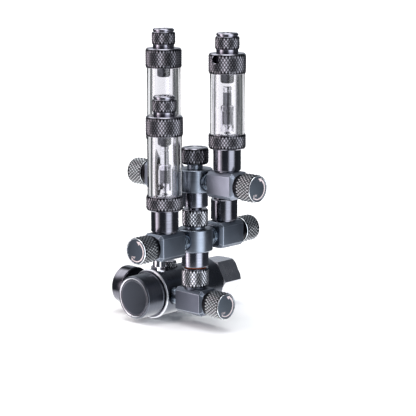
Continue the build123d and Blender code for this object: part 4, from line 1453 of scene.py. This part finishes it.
@dataclass
class BubbleCounter:
    """A clear bubble counter, from its polished base fitting to its knurled head."""

    base: float = COLLAR_SEAT
    glass: float = 33.55
    head: float = 32.65
    top: float = 72.55
    crown: float = COUNTER_CROWN
    collar: float = 12.25
    outer: float = 11.3
    inner: float = 7.9
    bore_head: float = 7.6
    stub_foot: float = 66.15
    socket: float = 11.35
    stub_bore: float = 1.2
    gas_bore: float = 1.5
    tower_foot: float = 4.6
    post: float = 1.1
    plug: float = 3.2
    stem: float = 2.75
    stem_groove: float = 2.4
    skirt: float = 4.25
    skirt_inner: float = 3.35
    skirt_neck: float = 2.9
    skirt_height: float = 16.6
    skirt_cap: float = 3.6
    window: float = 2.3
    window_steps: int = 12

    def adaptor(self) -> Mesh:
        """The polished fitting, with the bright head that stands inside the tube."""
        body = turned([
            *fitting_foot(self.gas_bore), (FITTING_RADIUS, self.base), (self.bore_head, self.base),
            (self.bore_head, self.head), (self.gas_bore, self.head),
        ], 128)
        for face in body.faces:
            face.material_index = int(face.calc_center_median().z > self.head - 0.3)
        return body

    def base_collar(self) -> Mesh:
        """The knurled cup at the tube's foot."""
        band = Knurl(self.collar, self.base + 0.65, self.glass - 0.25)
        hole, shelf = self.bore_head + 0.05, 27.4
        return knurled([
            (self.collar - 0.6, self.glass), (self.socket, self.glass), (self.socket, shelf), (hole, shelf),
            (hole, self.base), (self.collar - 1.0, self.base),
        ], band, KNURL)

    def tube(self) -> Mesh:
        """The clear tube."""
        low, high = 27.45, 78.55
        outline = [(self.inner, low), (self.outer, low), (self.outer, high), (self.inner, high)]
        return turned(outline, 128, 0.1)

    def top_collar(self) -> Mesh:
        """The knurled head with its stub, barb and side vent."""
        band = Knurl(self.collar, self.top + 0.25, self.crown - 0.65)
        roof, tube_end, boss_end, barb_end = 73.15, 78.6, self.crown + 5.5, 94.85
        boss, barb, stub = 4.6, 2.05, 4.45
        solid = knurled([
            (self.collar - 1.0, self.crown), (boss, self.crown), (boss, boss_end), (barb, boss_end),
            (barb, barb_end), (self.stub_bore, barb_end), (self.stub_bore, self.stub_foot),
            (stub - 0.7, self.stub_foot), (stub, self.stub_foot + 0.7), (stub, roof), (self.bore_head, roof),
            (self.bore_head, tube_end), (self.socket, tube_end), (self.socket, self.top),
            (self.collar - 0.6, self.top),
        ], band, KNURL)
        for face in solid.faces:
            low = face.calc_center_median().z < self.top + 1.0
            if low and face.material_index == 0 and reach_of(face) < 10:
                face.material_index = 2
        side = Place((0, 0, self.crown - 3.5), (0, 0, 1), (1, 0, 0))
        here = Place((0, 0, 0), (1, 0, 0), (0, 0, 1))
        drill = turned([(0, 1.5), (2.5, 1.5), (2.5, 11.4), (3.35, 12.25), (3.35, 14.0), (0, 14.0)], 48, 0)
        return combined(solid, [moved(drill, side, here)], "DIFFERENCE")

    def riser(self, tower: Tower) -> Mesh:
        """The bubble tower's foot, post and stem. Its bright faces get index 1."""
        foot_top = self.head + 1.2
        plug_foot = tower.skirt_foot + 4.5
        crown = tower.skirt_foot + self.skirt_height
        cap = crown - self.skirt_cap - 0.15
        end = crown + tower.stem_height
        groove = [
            (self.stem, end - 3.6), (self.stem_groove, end - 3.4),
            (self.stem_groove, end - 2.7), (self.stem, end - 2.5),
        ]
        body = turned([
            (0, self.head), (self.tower_foot, self.head), (self.tower_foot, foot_top), (2.4, foot_top + 0.4),
            (self.post, self.head + 3.2), (self.post, plug_foot), (self.plug, plug_foot), (self.plug, cap),
            (self.stem, cap), *(groove if end - 3.6 > crown else []), (self.stem, end - 0.5),
            (self.stem - 0.5, end), (0, end),
        ], 64)
        bright = crown + 1.6 if tower.polished else end - 4.6
        for face in body.faces:
            height = face.calc_center_median().z
            face.material_index = int(height > bright or height < plug_foot - 0.1)
        return body

    def sleeve(self, tower: Tower) -> Mesh:
        """The clear skirt with its arched window."""
        low, high = tower.skirt_foot, tower.skirt_foot + self.skirt_height
        roof = high - self.skirt_cap
        shell = turned([
            (self.skirt_inner, low), (self.skirt, low), (self.skirt, high - 0.9), (self.skirt_inner, high),
            (self.skirt_neck, high), (self.skirt_neck, roof), (self.skirt_inner, roof),
        ], 64, 0.1)
        arch = low + 1.8
        outline = [(-self.window, low - 1), (self.window, low - 1), (self.window, arch)]
        for k in range(1, self.window_steps):
            x, y = polar(self.window, math.pi * k / self.window_steps)
            outline.append((x, arch + y))
        outline.append((-self.window, arch))
        window = prism(outline, -9, 9)
        window.transform(Matrix.Rotation(math.radians(90), 4, "X"))
        return combined(shell, [window], "DIFFERENCE")

    def seat_counter(self, letter: str, level: str, place: Place) -> None:
        """The base fitting and cup of one counter.

        Args:
            letter: The arm.
            level: The module's level.
            place: The arm's upright frame.
        """
        fitting = Piece(f"base_fitting_{letter}", BLACK, NICKEL).add(self.adaptor(), place).finish(
            f"{level}_module", "black_fitting", f"{level}_adaptors")
        cup = Piece(f"lower_cup_{letter}", RIM, KNURL).add(self.base_collar(), place).finish(
            f"{level}_module", "knurled_anodised", f"{level}_base_collars")
        fitting.visible_transmission = cup.visible_transmission = letter != "a"

    def build(self) -> None:
        """Builds the counters of both modules."""
        for level, letters in LEVELS.items():
            parts: dict[str, tuple[Piece, str]] = {
                "tubes": (Piece(f"{level}_clear_tubes", ACRYLIC), "acrylic"),
                "top_collars": (Piece(f"{level}_upper_cups", RIM, KNURL, STUB), "knurled_anodised"),
                "risers": (Piece(f"{level}_towers", TOWER, TOWER_TIP), "tower_metal"),
                "skirts": (Piece(f"{level}_sleeves", ACRYLIC), "acrylic"),
            }
            for letter in letters:
                if letter not in TOWERS:
                    continue
                place, tower = ARMS[letter].upright(), TOWERS[letter]
                self.seat_counter(letter, level, place)
                parts["tubes"][0].add(self.tube(), place)
                parts["top_collars"][0].add(self.top_collar(), place)
                parts["risers"][0].add(self.riser(tower), place)
                parts["skirts"][0].add(self.sleeve(tower), place)
            for node, (piece, slot) in parts.items():
                piece.finish(f"{level}_module", slot, f"{level}_{node}")


@dataclass
class TubeFittings:
    """The tube nut on every arm, and the check valve under arm d's."""

    lip: float = 7.15
    radius: float = 8.03
    height: float = 13.0

    def nut(self, letter: str, seat: float) -> None:
        """One knurled tube nut with a plain lip at each end."""
        top = seat + self.height
        foot, crown = seat + 2.5, top - 2.4
        mouth, thread = 3.15, 4.68
        band = Knurl(self.radius, foot + 0.25, crown - 0.25, pitch=2.0, depth=0.42)
        nut = knurled([
            (self.radius - 0.6, crown), (self.lip - 0.5, crown), (self.lip - 0.5, crown + 0.5),
            (self.lip, crown + 0.7), (self.lip, top - 0.7), (self.lip - 0.7, top), (mouth, top),
            (mouth, top - 3.0), (thread, top - 4.2), (thread, seat), (self.lip, seat), (self.lip, foot),
            (self.radius - 0.6, foot),
        ], band, KNURL)
        Piece(f"tube_clamp_{letter}", RIM, KNURL).add(nut, ARMS[letter].upright()).finish(
            f"tube_nut_{letter}", "knurled_anodised", f"tube_nut_{letter}")

    def build(self) -> None:
        """Builds the four nuts and the check valve."""
        for letter in ARMS:
            self.nut(letter, COUNTER_CROWN if letter in TOWERS else COLLAR_SEAT)
        bore, barb, boss = 1.2, 2.05, 4.6
        boss_end, barb_end = 29.3, 33.0
        valve = turned([
            *fitting_foot(bore), (FITTING_RADIUS, COLLAR_SEAT - 0.5), (FITTING_RADIUS - 0.5, COLLAR_SEAT),
            (boss, COLLAR_SEAT), (boss, boss_end), (barb, boss_end), (barb, barb_end), (bore, barb_end),
        ], 128)
        Piece("return_stop", BLACK).add(valve, ARMS["d"].upright()).finish(
            "lower_module", "black_fitting", "check_valve_d")


@dataclass
class Works:
    """The inner nodes, which keep their CAD shape and get a finish."""

    def build(self) -> None:
        """Dresses every node that no piece stands for."""
        finishes: dict[Finish, str] = {
            STEEL: "diaphragm_plate adjusting_screw spring_button poppet outlet_needle needle_a needle_b"
                   " needle_c needle_d",
            WIRE: "range_spring poppet_spring", BRASS: "valve_seat", RUBBER: "diaphragm",
            BRONZE: "inlet_filter", NYLON: "inlet_washer",
        }
        for finish, names in finishes.items():
            for name in names.split():
                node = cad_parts[name]
                if not node.data.materials:
                    node.data.materials.append(None)
                for k in range(len(node.material_slots)):
                    node.material_slots[k].material = material_of(finish)
                log.info("%s: %s", name, finish.name)


@dataclass(frozen=True)
class SoftBox:
    """A patch of light round the object: degrees right of the camera, and degrees up.

    A bound past 180 degrees, or past straight up or down, leaves that side open.
    """

    across: Span
    upright: Span
    soft: float
    strength: float
    tint: str = "#FFFFFF"


# What the metal reflects
LIGHTS = (
    SoftBox((-80, -63), (-50, 55), 6, 5.8, "#FFF2F4"),
    SoftBox((-66, -47), (-50, 55), 7, 2.0, "#FFF6F6"),
    SoftBox((16, 58), (-50, 55), 11, 4.2, "#F6FAFF"),
    SoftBox((-400, 400), (70, 200), 9, 4.8),
    SoftBox((-150, -98), (28, 60), 12, 3.4),
    SoftBox((148, 400), (-2, 42), 8, 0.55, "#F0F6FF"),
    SoftBox((-400, -172), (-2, 42), 5, 0.55, "#F0F6FF"),
    SoftBox((-400, 400), (-200, -26), 8, 2.2),
)
# What the clear walls show of the room behind the object
BACKDROP = (
    SoftBox((166, 400), (-400, 400), 4, 0.95),
    SoftBox((-400, -142), (-400, 400), 4, 0.95),
    SoftBox((-116, -95), (-400, 400), 4, 0.9),
    SoftBox((119, 131), (-400, 400), 3, 0.2),
    SoftBox((-70, 86), (-400, 400), 8, 0.5),
)
# What the metal inside and behind the clear walls reflects, less sharply lit
VEILED = (
    SoftBox((-150, -4), (-50, 55), 8, 1.1),
    SoftBox((56, 90), (-50, 55), 6, 0.7),
    SoftBox((-400, 400), (48, 200), 9, 1.0),
    SoftBox((150, 400), (-2, 48), 6, 1.2),
    SoftBox((-400, -156), (-2, 48), 6, 1.2),
    SoftBox((-400, 400), (-200, -26), 8, 0.7),
)
# The dim room between the soft boxes
ROOM = (0.10, 0.11, 0.125)
BACKDROP_ROOM = (0.075, 0.085, 0.085)
VEILED_ROOM = (0.10, 0.105, 0.11)


class Sky:
    """The world in the making, with soft boxes placed by their bearing from the camera."""

    def __init__(self, facing: float) -> None:
        """Starts the world.

        Args:
            facing: The bearing from the object to the camera, in radians from the row's x axis.
        """
        self.world = bpy.data.worlds.new("studio")
        self.world.use_nodes = True
        self.tree = self.world.node_tree
        self.tree.nodes.clear()
        self.maths = partial(result_of, self.tree)
        direction = add_node(self.tree, "ShaderNodeTexCoord").outputs["Generated"]
        from_camera = add_node(self.tree, "ShaderNodeVectorRotate", {
            "Vector": direction, "Angle": -facing,
        }, rotation_type="Z_AXIS")
        x, y, z = add_node(self.tree, "ShaderNodeSeparateXYZ", {0: from_camera.outputs[0]}).outputs
        self.bearing = self.maths("MULTIPLY", self.maths("ARCTAN2", y, x), 180 / math.pi)
        self.rise = self.maths("MULTIPLY", self.maths("ARCSINE", z), 180 / math.pi)

    def edge(self, value: Socket, at: float, soft: float, side: Span) -> Socket:
        """A soft step at one bound, from the first of two values to the second."""
        return add_node(self.tree, "ShaderNodeMapRange", {
            "Value": value, "From Min": at - soft, "From Max": at + soft,
            "To Min": side[0], "To Max": side[1],
        }, interpolation_type="SMOOTHSTEP").outputs[0]

    def window(self, value: Socket, bounds: Span, soft: float) -> Socket:
        """One inside the bounds and nought outside them, with soft edges."""
        low, high = bounds
        return self.maths(
            "MULTIPLY", self.edge(value, low, soft, (0.0, 1.0)), self.edge(value, high, soft, (1.0, 0.0)))

    def lit(self, boxes: Iterable[SoftBox], dim: Triple) -> Socket:
        """A dim room with these soft boxes in it."""
        glow: Socket | Triple = dim
        for box in boxes:
            across = self.window(self.bearing, box.across, box.soft)
            upright = self.window(self.rise, box.upright, box.soft)
            light = add_node(self.tree, "ShaderNodeVectorMath", {
                0: tuple(box.strength * part for part in linear(box.tint)[:3]),
                "Scale": self.maths("MULTIPLY", across, upright),
            }, operation="SCALE")
            glow = add_node(self.tree, "ShaderNodeVectorMath", {
                0: glow, 1: light.outputs[0],
            }, operation="ADD").outputs[0]
        return glow

    def chosen(self, where: Socket, no: Socket, yes: Socket) -> Socket:
        """One colour or the other."""
        return add_node(self.tree, "ShaderNodeMix", {0: where, 6: no, 7: yes}, data_type="RGBA").outputs[2]

    def build(self) -> bpy.types.World:
        """A white surround to the eye, and upright soft boxes in a dim room to the metal.

        A look through one counter's two walls shows the backdrop. Any other ray that passed through a wall
        meets the veiled boxes.

        Returns:
            The world.
        """
        ray = add_node(self.tree, "ShaderNodeLightPath").outputs
        walls = ray["Transmission Depth"]
        few = self.maths("LESS_THAN", walls, 2.5)
        plain = self.maths("LESS_THAN", ray["Glossy Depth"], 0.5)
        through = self.maths("MULTIPLY", ray["Is Transmission Ray"], self.maths("MAXIMUM", plain, few))
        behind_wall = self.maths("GREATER_THAN", walls, 0.5)
        seen = self.chosen(behind_wall, self.lit(LIGHTS, ROOM), self.lit(VEILED, VEILED_ROOM))
        room = self.chosen(through, seen, self.lit(BACKDROP, BACKDROP_ROOM))
        shown = add_node(self.tree, "ShaderNodeBackground", {"Color": room, "Strength": 1.0})
        white = add_node(self.tree, "ShaderNodeBackground", {"Color": (1.0, 1.0, 1.0, 1.0), "Strength": 1.0})
        mix = add_node(self.tree, "ShaderNodeMixShader", {
            0: ray["Is Camera Ray"], 1: shown.outputs[0], 2: white.outputs[0],
        })
        add_node(self.tree, "ShaderNodeOutputWorld", {0: mix.outputs[0]})
        return self.world


@dataclass
class Studio:
    """The pale floor, the soft boxes and the camera at the photograph's angle."""

    camera_at: Triple = (-0.8206, -0.7471, 0.2560)
    looking: Triple = (0.719, 0.6705, -0.183)
    lens: float = 136.9
    sensor: float = 36.0
    shift: Span = (0.0014, -0.0010)
    clip: Span = (0.05, 50.0)
    floor_z: float = -0.0175
    floor_reach: float = 12.0

    def floor(self) -> None:
        """A plain pale floor under the object."""
        mesh = bpy.data.meshes.new("floor")
        corners = [(x * self.floor_reach, y * self.floor_reach, self.floor_z)
                   for x, y in ((-1, -1), (1, -1), (1, 1), (-1, 1))]
        mesh.from_pydata(corners, [], [(0, 1, 2, 3)])
        mesh.materials.append(
            Surface("pale_floor").shaded({"Color": linear("#FCFCFC")}, "ShaderNodeBsdfDiffuse"))
        thing = linked("floor", mesh)
        thing.visible_glossy = thing.visible_transmission = False

    def camera(self) -> None:
        """The camera, where the photograph was taken from."""
        data = bpy.data.cameras.new("camera")
        data.lens, data.sensor_width = self.lens, self.sensor
        data.shift_x, data.shift_y = self.shift
        data.clip_start, data.clip_end = self.clip
        thing = linked("camera", data)
        thing.location = self.camera_at
        thing.rotation_euler = Vector(self.looking).to_track_quat("-Z", "Y").to_euler()
        bpy.context.scene.camera = thing

    def build(self) -> None:
        """Sets the stage."""
        self.floor()
        facing = math.atan2(-self.looking[1], -self.looking[0])
        bpy.context.scene.world = Sky(facing).build()
        self.camera()
        bpy.context.scene.view_settings.view_transform = "Standard"


def main() -> None:
    """Builds the sub-assemblies in order."""
    logging.basicConfig(level=logging.INFO, format="%(name)s: %(message)s")
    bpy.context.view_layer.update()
    for assembly in (
        Regulator(), Inlet(), Gauge(), NeedleValves(), Manifolds(), BubbleCounter(), TubeFittings(), Works(),
        Studio(),
    ):
        assembly.build()
        log.info("%s is built", type(assembly).__name__)


if __name__ == "__main__":
    main()
